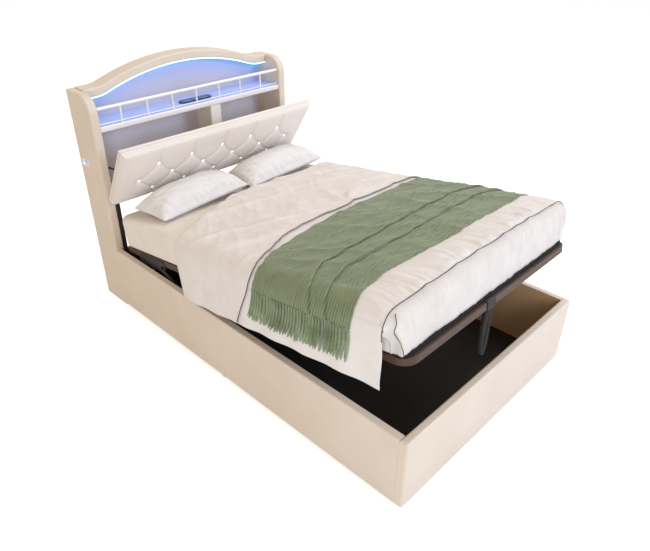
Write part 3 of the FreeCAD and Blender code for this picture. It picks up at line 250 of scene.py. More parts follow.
# %% Covered rail with a bare inner face
RAIL_INNER = 606
rail_cover = leather("cream polyurethane leather over particle board", "#DCCDBA", "#E2D4C2", 0.46)
tree = rail_cover.node_tree
shader = [node for node in tree.nodes if node.type == "BSDF_PRINCIPLED"][0]
spot = add(tree, "TexCoord")
parts = add(tree, "SeparateXYZ", {"Vector": (spot, "Object")})
reach = add(tree, "Math", {0: (parts, "X")}, operation="ABSOLUTE")
inward = add(tree, "Math", {0: (reach, 0)}, {1: RAIL_INNER * MM + 0.0004},
             operation="LESS_THAN")
chips = add(tree, "TexVoronoi", {"Vector": (spot, "Object")}, {"Scale": 1000 / 4})
board = blend(tree, (chips, "Distance"), (0, "#C09A70"), (1, "#D6B48C"))
outside = shader.inputs["Base Color"].links[0].from_node
faces_mix = add(tree, "MixRGB", {"Fac": (inward, 0), "Color1": (outside, 0), "Color2": (board, 0)})
tree.links.new(faces_mix.outputs[0], shader.inputs["Base Color"])
print("board shows inside", RAIL_INNER, "mm")

# %% [markdown]
# The shelf boards are chipboard with a printed foil. Foil is smooth, so only a trace of
# unevenness in its gloss tells it from plastic.

# %% Laminated board
def laminate(name, colour, roughness):
    material, tree, shader, spot = finish(name, colour, roughness)
    mist = add(tree, "TexNoise", {"Vector": (spot, "Object")}, {"Scale": 1000 / 45, "Detail": 4})
    gloss = add(tree, "MapRange", {"Value": (mist, "Fac")},
                {"To Min": roughness - 0.06, "To Max": roughness + 0.06})
    tree.links.new(gloss.outputs[0], shader.inputs["Roughness"])
    pores = add(tree, "TexNoise", {"Vector": (spot, "Object")}, {"Scale": 1000 / 2.2})
    raised(tree, shader, (pores, "Fac"), 0.05, 0.3)
    return material


cream_foil = laminate("laminated board, cream", "#EDE5DA", 0.42)
dark_foil = laminate("laminated board, black", "#211D1B", 0.5)

# %% [markdown]
# The back panel stands in the light of the strip under the arch. The strip is really lit here. On
# the panel the light is painted: a soft glow and a bluer colour that fade away from the arch. The
# painted glow is worked out from the arch's circle and stays on the front.

# %% Back panel and light strip
ARCH_CENTRE_Z, ARCH_UNDER_RADIUS, GLOW_REACH = -0.265, 1.495, 0.16
painted_glow_panel, tree, shader, spot = finish("laminated board with painted glow", "#CFC9D2", 0.45)
parts = add(tree, "SeparateXYZ", {"Vector": (spot, "Object")})
height = add(tree, "Math", {0: (parts, "Z")}, {1: -ARCH_CENTRE_Z}, operation="ADD")
flat = add(tree, "CombineXYZ", {"X": (parts, "X"), "Z": (height, 0)})
radius = add(tree, "VectorMath", {0: (flat, 0)}, operation="LENGTH")
fade = add(tree, "MapRange", {"Value": (radius, "Value")},
           {"From Min": ARCH_UNDER_RADIUS - GLOW_REACH, "From Max": ARCH_UNDER_RADIUS + 0.01})
panel_low, panel_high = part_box("headboard_back_panel")
front = add(tree, "Math", {0: (parts, "Y")}, {1: (panel_low[1] + panel_high[1]) / 2},
            operation="LESS_THAN")
near = add(tree, "Math", {0: (fade, 0), 1: (front, 0)}, operation="MULTIPLY")
# Painted light: the panel glows blue, strongest by the arch.
tint = blend(tree, (near, 0), (0, "#000000"), (0.60, "#141B38"), (0.86, "#2F6AA0"),
             (1, "#8FD6F4"))
tree.links.new(tint.outputs["Color"], shader.inputs["Emission Color"])
shader.inputs["Emission Strength"].default_value = 0.75
# Painted light: the panel's colour turns bluer towards the arch.
body = blend(tree, (near, 0), (0.1, "#CFC9D2"), (0.55, "#BCBFE0"), (0.95, "#8FB6E8"))
tree.links.new(body.outputs["Color"], shader.inputs["Base Color"])

strip_light, tree, shader, spot = finish("frosted light diffuser", "#E8F8FF", 0.5)
shader.inputs["Emission Color"].default_value = linear("#8FDCFF")
shader.inputs["Emission Strength"].default_value = 1.7

# The shelf's top face carries painted light from the strip: a blue glow and a bluer colour.
painted_blue_shelf, tree, shader, spot = finish("laminated board with painted blue light", "#EDEAE6", 0.38)
parts = add(tree, "SeparateXYZ", {"Vector": (spot, "Object")})
SHELF_EDGE, SHELF_TOP = 1.0165, 1.0178
on_top = add(tree, "MapRange", {"Value": (parts, "Z")},
             {"From Min": SHELF_EDGE, "From Max": SHELF_TOP})
blue = blend(tree, (on_top, 0), (0, "#000000"), (1, "#2F4FA8"))
tree.links.new(blue.outputs["Color"], shader.inputs["Emission Color"])
shader.inputs["Emission Strength"].default_value = 0.28
# Painted light: the top face's colour turns blue.
body = blend(tree, (on_top, 0), (0, "#EDEAE6"), (1, "#BFCDF2"))
tree.links.new(body.outputs["Color"], shader.inputs["Base Color"])
print("shelf top glows from", SHELF_EDGE, "m up")
print("glow reaches", GLOW_REACH, "m below the arch")

# %% [markdown]
# ## Metals and plastics
#
# Powder coat is melted plastic on steel, with a fine orange peel. Enamel on the guard rail is
# smoother and has a clear top. Chrome and zinc are bare metals with little relief.

# %% Metal finishes
def coated(name, colour, roughness, peel=0.9, **values):
    material, tree, shader, spot = finish(name, colour, roughness, **values)
    skin = add(tree, "TexNoise", {"Vector": (spot, "Object")},
               {"Scale": 1000 / peel, "Detail": 2})
    raised(tree, shader, (skin, "Fac"), 0.06, 0.4)
    worn = add(tree, "TexNoise", {"Vector": (spot, "Object")}, {"Scale": 1000 / 60, "Detail": 5})
    gloss = add(tree, "MapRange", {"Value": (worn, "Fac")},
                {"To Min": roughness - 0.08, "To Max": roughness + 0.08})
    tree.links.new(gloss.outputs[0], shader.inputs["Roughness"])
    return material


black_coat = coated("powder coated steel, black", "#1C1917", 0.42)
# The platform frame is black steel; its brown colour is a painted reflection.
brown_reflection_coat = coated("black powder coated steel, painted brown reflection", "#4C3426", 0.40)
white_enamel = coated("enamelled steel, white", "#F5F2ED", 0.28, 2.5, Coat_Weight=0.3,
                      Coat_Roughness=0.12)
strut_paint = coated("gloss painted steel, black", "#121214", 0.24, 3.0)
chrome = coated("ground chrome", "#DADCDF", 0.14, 0.5, Metallic=1.0)
zinc = coated("zinc plated steel", "#B8BCC0", 0.36, 0.7, Metallic=1.0)
anodised = coated("anodised aluminium", "#CACCD0", 0.32, 0.6, Metallic=1.0)

# %% Plastic finishes
# The charging panel is black plastic; its navy tint is painted blue light from the shelf's glow.
black_abs_painted_blue = coated("moulded ABS, black with painted blue light", "#26304F", 0.36, 0.8)
grey_abs = coated("moulded ABS, slate blue", "#4A5C92", 0.5, 0.8)
pale_abs = coated("moulded ABS, pale blue", "#AEC0EC", 0.4, 0.8)
cream_abs = coated("moulded ABS, cream", "#EFE7DC", 0.4, 0.8)
cap_plastic = coated("moulded polypropylene cap", "#D9CBB9", 0.5, 0.8)
black_nylon = coated("moulded nylon, black", "#181818", 0.55, 0.6)
pale_nylon = coated("moulded nylon, natural", "#E9E6DF", 0.5, 0.6)

# %% [markdown]
# The slats are thin beech layers glued in a bent press. Beech shows short brown flecks along
# a pale grain. The battens are planed softwood, with wider growth lines.

# %% Woods
def timber(name, dark, light, grain, along):
    """Wood whose lines lie a grain's width apart and run along one axis."""
    material, tree, shader, spot = finish(name, light, 0.5)
    stretch = [1.0, 1.0, 1.0]
    stretch[along] = 0.06
    lay = add(tree, "Mapping", {"Vector": (spot, "Object")}, {"Scale": stretch})
    lines = add(tree, "TexNoise", {"Vector": (lay, 0)},
                {"Scale": 1000 / grain, "Detail": 4, "Distortion": 0.4})
    tinted(tree, shader, (lines, "Fac"), dark, light)
    raised(tree, shader, (lines, "Fac"), 0.15, 0.4)
    return material


beech = timber("pressed beech laminate", "#C9A77C", "#E2C9A3", 6, 0)
softwood = timber("planed softwood", "#B4895C", "#D6B68A", 9, 1)

# %% Finish the hard pieces
HARD = {
    upholstery: "headboard_post_left headboard_post_right arch_crown footboard",
    rail_cover: ("side_rail_left_head side_rail_left_foot side_rail_right_head "
                 "side_rail_right_foot"),
    flap_leather_painted_lighter: "flap_board",
    painted_glow_panel: "headboard_back_panel",
    strip_light: "arch_light_strip",
    painted_blue_shelf: "display_shelf",
    cream_foil: "compartment_divider compartment_floor",
    dark_foil: "headboard_stiles head_crossboard storage_floor_head storage_floor_foot",
    white_enamel: "shelf_guard_rail",
    black_abs_painted_blue: "charging_panel",
    grey_abs: "charging_sockets",
    anodised: "shelf_touch_switch",
    cream_abs: "side_control_plate",
    cap_plastic: "post_cover_caps",
    softwood: "floor_battens",
    black_nylon: "slat_holders",
    pale_nylon: "base_glides",
    beech: "slats",
    # Black tube with a painted brown reflection.
    brown_reflection_coat: "platform_frame",
    black_coat: ("corner_brackets lift_base_left lift_base_right flap_hinge_leaves "
                 "stay_anchor_plates flap_hinge_straps flap_stay_brackets stay_lower_left "
                 "stay_lower_right stay_upper_left stay_upper_right lift_arm_left "
                 "lift_arm_right lift_link_left lift_link_right platform_cross_bars "
                 "lift_top_bar_left lift_top_bar_right"),
    strut_paint: "strut_cylinder_left strut_cylinder_right",
    chrome: "strut_rod_left strut_rod_right",
    zinc: "bracket_bolts",
}
finished = []
for material, names in HARD.items():
    for name in names.split():
        piece = bpy.data.objects[name]
        piece.data.materials.clear()
        piece.data.materials.append(material)
        finished.append(name)
print(len(finished), "hard pieces finished")

# %% [markdown]
# ## Cloth
#
# Woven cotton is two sets of threads about 0.3 mm apart, too fine for this picture, so the weave is
# drawn at 1.2 mm, where it shows as a soft tooth. Slow clouds in the colour are painted shade,
# standing for the way that washed cotton never lies quite flat.

# %% Cottons
def cotton(name, dark, light, thread=1.2, rough=0.85, crumple=3.0, lean=35):
    material, tree, shader, spot = finish(name, light, rough)
    shader.inputs["Sheen Weight"].default_value = 0.15
    shader.inputs["Sheen Roughness"].default_value = 0.4
    clouds = add(tree, "TexNoise", {"Vector": (spot, "Object")},
                 {"Scale": 1000 / 90, "Detail": 5})
    # Painted shade: slow clouds darken the colour.
    tinted(tree, shader, (clouds, "Fac"), dark, light)
    lay = add(tree, "Mapping", {"Vector": (spot, "Object")},
              {"Scale": (1.0, 0.32, 1.0), "Rotation": (0, 0, math.radians(lean))})
    pulls = add(tree, "TexNoise", {"Vector": (lay, 0)},
                {"Scale": 1000 / 150, "Detail": 1.5, "Distortion": 0.2},
                noise_type="RIDGED_MULTIFRACTAL")
    broad = raised(tree, shader, (pulls, "Fac"), crumple, 0.5)
    creases = add(tree, "TexNoise", {"Vector": (spot, "Object")},
                  {"Scale": 1000 / 22, "Detail": 3, "Distortion": 1.2})
    soft = raised(tree, shader, (creases, "Fac"), 1.2, 0.35, broad)
    threads = add(tree, "TexVoronoi", {"Vector": (spot, "Object")}, {"Scale": 1000 / thread})
    raised(tree, shader, (threads, "Distance"), 0.1, 0.4, soft)
    return material


sheet_cotton = cotton("cotton sheet, sand white", "#E7DED3", "#EDE5DB", crumple=2.5)
duvet_cotton = cotton("cotton percale, warm white", "#E4DDD7", "#EAE5E0", crumple=4.0)
# Same percale as the duvet, coloured darker: painted shade on the foot face.
foot_cotton_painted_shade = cotton("cotton percale, foot end, painted shade", "#DAD2C9", "#E1DAD1", crumple=3.0, lean=0)
# Same percale as the duvet, coloured a little darker: painted shade on the turned cuff.
cuff_cotton_painted_shade = cotton("cotton percale, turned side, painted shade", "#E2DAD3", "#E9E3DD", crumple=4.0, lean=-50)
pillow_cotton = cotton("cotton percale, white", "#E2DEDA", "#E8E5E1", crumple=2.0, lean=15)
piping_cotton = cotton("cotton piping, slate", "#3A3634", "#4C4744", 0.9, crumple=0.1)

# %% [markdown]
# The blanket is an acrylic knit. Strong rows about 7 mm apart run across the bed, crossed by
# fainter ribs 5 mm apart, so this pattern follows the cloth's own coordinates, which the mesh
# carries in metres.

# %% Knit
def knitted(name, dark, light):
    material, tree, shader, spot = finish(name, light, 0.92)
    shader.inputs["Sheen Weight"].default_value = 0.3
    ribs = add(tree, "TexWave", {"Vector": (spot, "UV")},
               {"Scale": 1000 / 5 / 6.2832, "Distortion": 0.8, "Detail": 2},
               wave_type="BANDS", bands_direction="X")
    rows = add(tree, "TexWave", {"Vector": (spot, "UV")},
               {"Scale": 1000 / 7 / 6.2832, "Distortion": 0.8, "Detail": 2},
               wave_type="BANDS", bands_direction="Y")
    faint = add(tree, "MapRange", {"Value": (ribs, "Fac")}, {"To Min": 0.7, "To Max": 1.0})
    stitches = add(tree, "Math", {0: (faint, 0), 1: (rows, "Fac")}, operation="MULTIPLY")
    clouds = add(tree, "TexNoise", {"Vector": (spot, "UV")}, {"Scale": 1000 / 70, "Detail": 4})
    groove_shade_and_tone = add(tree, "Math", {0: (stitches, 0), 1: (clouds, "Fac")}, operation="ADD")
    # The colour is darker in the grooves between stitches, which is painted shade, and varies in
    # slow clouds of tone.
    tinted(tree, shader, (groove_shade_and_tone, 0), dark, light, 0.30, 1.0)
    raised(tree, shader, (stitches, 0), 1.0, 0.6)
    return material


knit = knitted("acrylic knit, sage", "#566246", "#808B67")
yarn = cotton("acrylic yarn, sage", "#6B7A58", "#97A47F", 2.0, 0.92, crumple=0.2)
print("knit ribs every 5 mm, rows every 7 mm")

# %% [markdown]
# Polypropylene webbing is woven flat and tight, with a fine rib across it.

# %% Webbing
webbing, tree, shader, spot = finish("polypropylene webbing, black", "#262423", 0.6)
ribs = add(tree, "TexWave", {"Vector": (spot, "Object")}, {"Scale": 1000 / 2.4 / 6.2832},
           wave_type="BANDS", bands_direction="Z")
raised(tree, shader, (ribs, "Fac"), 0.4, 0.7)
# Painted shade: the colour darkens in the grooves between the ribs.
tinted(tree, shader, (ribs, "Fac"), "#1B1A19", "#3A3734")

# %% [markdown]
# ## Building surfaces
#
# Cloth that lies over an edge is easiest as a grid: one direction runs across the cloth, the
# other along it, and a function gives the point for each pair. The same helper also closes
# tubes and rings, and keeps the cloth's own coordinates for patterns.

# %% Mesh helpers
def piece_of(name, verts, faces, frame_matrix, material, uvs=None):
    """Makes an object from millimetre points in a frame, with one material."""
    mesh = bpy.data.meshes.new(name)
    mesh.from_pydata([frame_matrix @ Vector(v) for v in verts], [], faces)
    if uvs:
        layer = mesh.uv_layers.new(name="cloth")
        for loop in mesh.loops:
            layer.data[loop.index].uv = uvs[loop.vertex_index]
    mesh.polygons.foreach_set("use_smooth", [True] * len(mesh.polygons))
    mesh.materials.append(material)
    made = bpy.data.objects.new(name, mesh)
    bpy.context.scene.collection.objects.link(made)
    return made


def grid(us, vs, point):
    """Points and faces of a grid, and its own coordinates in metres."""
    verts = [point(u, v) for v in vs for u in us]
    uvs = [(u * MM, v * MM) for v in vs for u in us]
    wide = len(us)
    faces = [(r * wide + c, r * wide + c + 1, (r + 1) * wide + c + 1, (r + 1) * wide + c)
             for r in range(len(vs) - 1) for c in range(wide - 1)]
    return verts, faces, uvs


def bands(rows, count):
    """Quads between neighbouring closed rings of points."""
    return [(row * count + k, row * count + (k + 1) % count,
             (row + 1) * count + (k + 1) % count, (row + 1) * count + k)
            for row in range(rows - 1) for k in range(count)]


def faceted(piece):
    """Keeps a piece's faces flat, for hard edges."""
    piece.data.polygons.foreach_set("use_smooth", [False] * len(piece.data.polygons))


def steps(start, end, pitch):
    """Even steps from start to end, about a pitch apart."""
    count = max(1, round(abs(end - start) / pitch))
    return [start + (end - start) * i / count for i in range(count + 1)]


def thicken(piece, thick, offset=-1):
    """Gives a sheet its thickness, inward of the drawn surface."""
    solid = piece.modifiers.new("thickness", "SOLIDIFY")
    solid.thickness, solid.offset = thick * MM, offset
    return piece


def tube(path, radius, sides=8, swell=None):
    """Points and faces of a closed tube along a list of points."""
    verts, faces = [], bands(len(path), sides)
    for i, centre in enumerate(path):
        ahead = path[min(i + 1, len(path) - 1)] - path[max(i - 1, 0)]
        side = ahead.cross(Vector((0.13, 0.29, 0.95))).normalized()
        up = side.cross(ahead).normalized()
        r = radius * (swell(i / (len(path) - 1)) if swell else 1)
        for k in range(sides):
            turn = 2 * math.pi * k / sides
            verts.append(centre + side * (r * math.cos(turn)) + up * (r * math.sin(turn)))
    faces.append(tuple(range(sides))[::-1])
    faces.append(tuple(range(len(verts) - sides, len(verts))))
    return verts, faces


def joined(parts):
    """Several (points, faces) as one."""
    verts, faces = [], []
    for more_verts, more_faces in parts:
        base = len(verts)
        verts += more_verts
        faces += [tuple(base + i for i in face) for face in more_faces]
    return verts, faces


def smooth(value, low, high):
    """Goes softly from 0 at low to 1 at high."""
    share = min(1, max(0, (value - low) / (high - low)))
    return share * share * (3 - 2 * share)


def cloud(x, y, seed=0):
    """Smooth noise between -1 and 1."""
    return noise.noise(Vector((x, y, seed * 7.31)))


def crease(x, y, seed=0):
    """Sharp ridges with soft valleys between them, from 0 to 1."""
    return (1 - min(1, 2.2 * abs(cloud(x, y, seed)))) ** 2


# %% [markdown]
# ## Swelling a pad
#
# A pillow is a bag under pressure. The mesh is rebuilt with even faces and blown up as cloth
# for twenty frames, and no point may move further than the cap. The result is kept, so no
# simulation is left in the file.

# %% Cloth under pressure
PUFF_FRAMES = 20


def puff(piece, voxel, pressure, cap):
    """Blows a closed piece up as cloth and keeps the shape."""
    remesh = piece.modifiers.new("even", "REMESH")
    remesh.mode, remesh.voxel_size = "VOXEL", voxel * MM
    graph = bpy.context.evaluated_depsgraph_get()
    material = piece.data.materials[0]
    even = bpy.data.meshes.new_from_object(piece.evaluated_get(graph))
    piece.modifiers.clear()
    piece.data = even
    cloth = piece.modifiers.new("cloth", "CLOTH")
    cloth.settings.use_pressure = True
    cloth.settings.uniform_pressure_force = pressure
    cloth.settings.effector_weights.gravity = 0
    cloth.settings.quality = 5
    cloth.settings.mass = 0.3
    cloth.settings.tension_stiffness = 15
    cloth.settings.compression_stiffness = 15
    cloth.settings.bending_stiffness = 0.4
    cloth.collision_settings.use_collision = False
    start = [v.co.copy() for v in even.vertices]
    scene = bpy.context.scene
    scene.frame_start, scene.frame_end = 1, PUFF_FRAMES
    for number in range(1, PUFF_FRAMES + 1):
        scene.frame_set(number)
    graph = bpy.context.evaluated_depsgraph_get()
    blown = bpy.data.meshes.new_from_object(piece.evaluated_get(graph))
    for vertex, old in zip(blown.vertices, start):
        move = vertex.co - old
        if move.length > cap * MM:
            vertex.co = old + move.normalized() * cap * MM
    piece.modifiers.clear()
    piece.data = blown
    scene.frame_set(1)
    blown.materials.clear()
    blown.materials.append(material)
    blown.polygons.foreach_set("use_smooth", [True] * len(blown.polygons))
    finer = piece.modifiers.new("finer", "SUBSURF")
    finer.levels = finer.render_levels = 1


# %% [markdown]
# ## Mattress
#
# The mattress wears a fitted sheet: a block with round edges, a little crown on top, and
# fine pulls in the sheet where elastic gathers it at the corners.

# %% Mattress
MATTRESS_HALF, MATTRESS_START, MATTRESS_END = 598, 34, 1892
MATTRESS_UNDER, MATTRESS_TOP, MATTRESS_CORNER, MATTRESS_EDGE = 30.4, 200.4, 60, 26


def corner_outline(half, start, end, radius, pitch):
    """A rounded rectangle as (x, y, outward x, outward y), counter clockwise."""
    points = []
    middles = ((half - radius, start + radius, -90), (half - radius, end - radius, 0),
               (-half + radius, end - radius, 90), (-half + radius, start + radius, 180))
    for number, (cx, cy, first) in enumerate(middles):
        for share in steps(0, 90, 9):
            turn = math.radians(first + share)
            points.append((cx + radius * math.cos(turn), cy + radius * math.sin(turn),
                           math.cos(turn), math.sin(turn)))
        after = middles[(number + 1) % 4]
        turn = math.radians(first + 90)
        begin = Vector(points[-1][:2])
        finish_at = Vector((after[0] + radius * math.cos(turn),
                            after[1] + radius * math.sin(turn)))
        for share in steps(0, 1, pitch / max(pitch, (finish_at - begin).length))[1:-1]:
            spot_at = begin.lerp(finish_at, share)
            points.append((spot_at.x, spot_at.y, math.cos(turn), math.sin(turn)))
    return points


def mattress_mesh():
    ring = corner_outline(MATTRESS_HALF, MATTRESS_START, MATTRESS_END, MATTRESS_CORNER, 12)
    low, high, edge = MATTRESS_UNDER, MATTRESS_TOP, MATTRESS_EDGE
    levels = [(low + edge * (1 - math.cos(t)), edge * (1 - math.sin(t)))
              for t in (0.0, 0.4, 0.8, 1.2, 1.57)]
    levels += [(z, 0) for z in steps(low + edge, high - edge, 12)[1:-1]]
    levels += [(high - edge * (1 - math.cos(t)), edge * (1 - math.sin(t)))
               for t in (1.57, 1.2, 0.8, 0.4, 0.0)]
    verts = []
    for z, inset in levels:
        up = (z - low) / (high - low)
        for number, (x, y, ox, oy) in enumerate(ring):
            corner = abs(ox * oy) * 2
            pull = 2.6 * cloud(number / 2.3, up * 1.2, 3) * (0.25 + corner) * math.sin(
                math.pi * min(1, 0.1 + up))
            bulge = -2.2 * (1 - math.sin(math.pi * up)) + min(0, pull)
            verts.append((x - ox * (inset - bulge), y - oy * (inset - bulge), z))
    count = len(ring)
    faces = bands(len(levels), count)
    previous = (len(levels) - 1) * count
    middle_y = (MATTRESS_START + MATTRESS_END) / 2
    for share in (0.93, 0.8, 0.6, 0.35):
        first = len(verts)
        for x, y, *_ in ring:
            px, py = x * share, middle_y + (y - middle_y) * share
            verts.append((px, py, high - 0.3 - 0.8 * (1 - share) * abs(cloud(px / 90, py / 60, 5))))
        for k in range(count):
            faces.append((previous + k, previous + (k + 1) % count,
                          first + (k + 1) % count, first + k))
        previous = first
    faces.append(tuple(range(previous, previous + count)))
    faces.append(tuple(range(count))[::-1])
    return verts, faces


mattress = piece_of("fitted_sheet_mattress", *mattress_mesh(), PLATFORM, sheet_cotton)
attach(mattress, "platform")
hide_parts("mattress")
print("mattress", len(mattress.data.vertices), "points")

# %% [markdown]
# ## Duvet
#
# The cover is a wide cloth over the mattress. Its section across the bed is a crowned top,
# two round shoulders and two hanging sides. A point is found by walking along that section,
# and the folds push it out along the section's normal.

# %% The section across the bed
COVER_HALF, COVER_TOP, SHOULDER, CROWN = 654, 217.8, 85, 7
COVER_END, SLANT_RUN, SLANT_REACH, FOOT_EDGE = 1512, 240, 130, 62
FLAT = COVER_HALF - SHOULDER
BEND = SHOULDER * math.pi / 2


def across_bed(u):
    """Point (x, n) and outward normal at a walked distance u from the middle."""
    side = 1 if u >= 0 else -1
    w = abs(u)
    if w <= FLAT:
        return side * w, COVER_TOP + CROWN * (1 - (w / FLAT) ** 2), 0, 1
    if w <= FLAT + BEND:
        turn = (w - FLAT) / SHOULDER
        return (side * (FLAT + SHOULDER * math.sin(turn)),
                COVER_TOP - SHOULDER * (1 - math.cos(turn)), side * math.sin(turn),
                math.cos(turn))
    return side * COVER_HALF, COVER_TOP - SHOULDER - (w - FLAT - BEND), side, 0


def cover_end(u):
    """The head end lies straight by the pillows and slants to the foot on the left."""
    slant = (-across_bed(u)[0] - SLANT_REACH) / (COVER_HALF - SLANT_REACH)
    return COVER_END - SLANT_RUN * min(1, max(0, slant))


def walked(n):
    """The walked distance at which a side reaches the level n."""
    return FLAT + BEND + COVER_TOP - SHOULDER - n


def cover_relief(u, s):
    """How far the duvet stands proud of its section: folds, creases and gathers."""
    w = abs(u)
    hang = smooth(w, FLAT + BEND * 0.4, walked(-75))
    side = 1 if u > 0 else -1
    folds = hang * (2.2 + 2.6 * math.sin(2 * math.pi * s / 184 + side)
                    + 1.6 * cloud(s / 70, side * 3.0, 2))
    top = 1 - smooth(w, FLAT * 0.9, FLAT + BEND)
    foot = math.exp(-(s - FOOT_EDGE) / 85) * smooth(s, FOOT_EDGE - 2, FOOT_EDGE + 26)
    fan = u + 0.35 * (s - FOOT_EDGE) * cloud(u / 220, 2.0, 16)
    gathers = foot * (12 * crease(fan / 44, s / 260, 4) + 11 * crease(fan / 27, s / 200, 9) - 5)
    puffed = 9 * math.sin(math.pi * min(1, max(0, (s - FOOT_EDGE) / 170))) * top
    lines = 7.5 * crease((u * 0.8 + s * 0.35) / 130, (s - u * 0.3) / 420, 6) * top
    soft = 2.4 * cloud(u / 120, s / 150, 1)
    return folds + (gathers + puffed + lines + soft) * (0.25 + 0.75 * top)


def cover_point(u, s, lift=0.0):
    x, n, out, up = across_bed(u)
    push = cover_relief(u, s) + lift
    return Vector((x + out * push, s, n + up * push))


# %% Duvet top and sides
hem = walked(-75)
us = steps(-hem, hem, 6)


def duvet_point(u, s):
    """The corner at the foot hangs a little back and down, as a free edge does."""
    p = cover_point(u, s)
    hang = smooth(abs(u), FLAT + BEND, hem)
    lead = 1 - smooth(s, FOOT_EDGE, FOOT_EDGE + 90)
    p.y += -6 * lead * (1 - hang) + 16 * lead * hang * hang
    return p


def duvet_row(u, v):
    return duvet_point(u, FOOT_EDGE + v * (cover_end(u) - FOOT_EDGE))


duvet = thicken(piece_of("duvet_cover", *grid(us, steps(0, 1, 0.0062), duvet_row)[:2], PLATFORM,
                         duvet_cotton), 5)
print("duvet", len(duvet.data.vertices), "points")

# %% [markdown]
# At the foot the duvet turns down over the mattress in a soft roll. It is a second grid: one
# direction runs across the bed and round both corners, the other down the foot. Its lower
# corners draw in, because they go down between the rails when the bed is shut.

# %% Duvet foot
FOOT_HALF, FOOT_LOW, FOOT_DRAW = 650, 43, 42


def foot_point(u, v):
    """u runs from -1 to 1 across the bed, v from 0 at the piping to 1 at the tuck."""
    side = 1 if u > 0 else -1
    x = u * (FOOT_HALF - 4)
    end = smooth(abs(u), 0.90, 1.0)
    top_n = cover_point(x, FOOT_EDGE).z - 5 * end
    n = top_n + (FOOT_LOW - top_n) * (v ** 1.25)
    bulge = math.sin(math.pi * min(1, v * 1.12) ** 0.62)
    s = FOOT_EDGE - (FOOT_EDGE - 22) * smooth(v, 0, 0.28) - 5 * bulge
    s += end * end * 42 * smooth(v, 0.0, 0.4)
    lean = x + 60 * v * cloud(x / 200, 1.0, 18)
    wrinkle = (10 * crease(lean / 62, v * 0.8, 8) + 8.0 * crease(lean / 30, v * 1.2, 12) - 6) * (
        0.3 + 0.7 * math.sin(math.pi * v)) + 5.0 * cloud(x / 110, v * 1.5, 14)
    x -= side * end * (8 * v + FOOT_DRAW * smooth(v, 0.3, 0.78))
    return Vector((x, s - wrinkle * (1 - 0.5 * end) + 3, n + 1.5 * cloud(x / 40, v * 3, 15)))


foot_us = [math.copysign(abs(u) ** 0.8, u) if u else 0 for u in steps(-1, 1, 0.012)]
duvet_foot = thicken(piece_of("duvet_foot", *grid(foot_us, steps(0, 1, 0.045), foot_point)[:2],
                              PLATFORM, foot_cotton_painted_shade), 5, 1)
print("duvet foot", len(duvet_foot.data.vertices), "points")

# %% [markdown]
# The head end of the duvet is turned back over itself. The turned part lies on top down to a
# dark piping, and hangs over both sides with the rest.

# %% Turned back cuff
CUFF_START, CUFF_LIFT, KNOT = 850, 5.5, (120, 880)


def between(value, places):
    """Reads a line that runs through (place, height) pairs."""
    if value <= places[0][0]:
        return places[0][1]
    for (low, start), (high, end) in zip(places, places[1:]):
        if value <= high:
            return start + (end - start) * (value - low) / (high - low)
    return places[-1][1]


CUFF_SWING = ((-905, 12), (-813, -44), (-745, -84), (-690, -112), (-650, -124), (-612, -122),
              (-565, -108), (-523, -86), (-435, -44), (-339, -18), (-187, 8), (0, 4), (560, 4),
              (640, -30), (700, -52), (780, -30), (905, 6))


def cuff_edge(u):
    """The cuff's lower edge is straight on top and swings to the foot over each shoulder."""
    kink = 9 * math.exp(-abs(u - KNOT[0]) / 22)
    return CUFF_START + between(u, CUFF_SWING) + 5 * cloud(u / 160, 3.3, 2) + kink


def cuff_point(u, v):
    end = cover_end(u) + 2
    s = cuff_edge(u) + v * (end - cuff_edge(u))
    top = (1 - smooth(abs(u), FLAT * 0.9, FLAT + BEND)) * smooth(v, 0.0, 0.14)
    rays = 11 * crease((u * 0.45 + s * 0.9) / 105, (u - s * 0.5) / 520, 21) * top
    ripple = 3.0 * crease((u - s * 0.7) / 85, (s + u * 0.6) / 380, 23) * top
    knot_u, knot_s = u - KNOT[0], s - KNOT[1]
    far = math.hypot(knot_u, knot_s)
    star = 8.0 * math.exp(-far / 150) * (1 - math.exp(-far / 25)) * math.cos(
        7 * math.atan2(knot_s, knot_u) + far / 90) * top
    roll = 2.5 * math.exp(-v * 30)
    fall = 7 * math.exp(-(end - s) / 10)
    return cover_point(u, s, CUFF_LIFT + rays + ripple + star + roll - fall)


cuff_hem = hem - 4
cuff = thicken(piece_of("duvet_cuff", *grid(steps(-cuff_hem, cuff_hem, 7), steps(0, 1, 0.014),
                                            cuff_point)[:2], PLATFORM, cuff_cotton_painted_shade), 3.5)
print("cuff", len(cuff.data.vertices), "points")

# %% Piping
def along_cuff():
    return [cuff_point(u, 0) + Vector((0, -1.2, 0)) for u in steps(-cuff_hem, cuff_hem, 10)]


def along_foot():
    """The foot piping follows the duvet's edge over both shoulders."""
    return [duvet_point(u, FOOT_EDGE) + Vector((0, -2.5, 1.5)) for u in steps(-712, 712, 8)]


def along_pleat():
    """A dark seam bows round the soft left corner of the foot, down to the tuck."""
    bow = ((0.10, 0.912), (0.25, 0.945), (0.45, 0.958), (0.65, 0.955), (0.85, 0.935), (1.0, 0.90))
    return [foot_point(-between(v, bow), v) + Vector((0, -4.5 - 2 * math.sin(math.pi * v), 0))
            for v in steps(0.10, 0.98, 0.04)]


def down_side(side):
    return [duvet_point(side * w, FOOT_EDGE) + Vector((side * 0.5, -1.0, 0))
            for w in steps(FLAT + BEND * 0.7, hem, 10)]


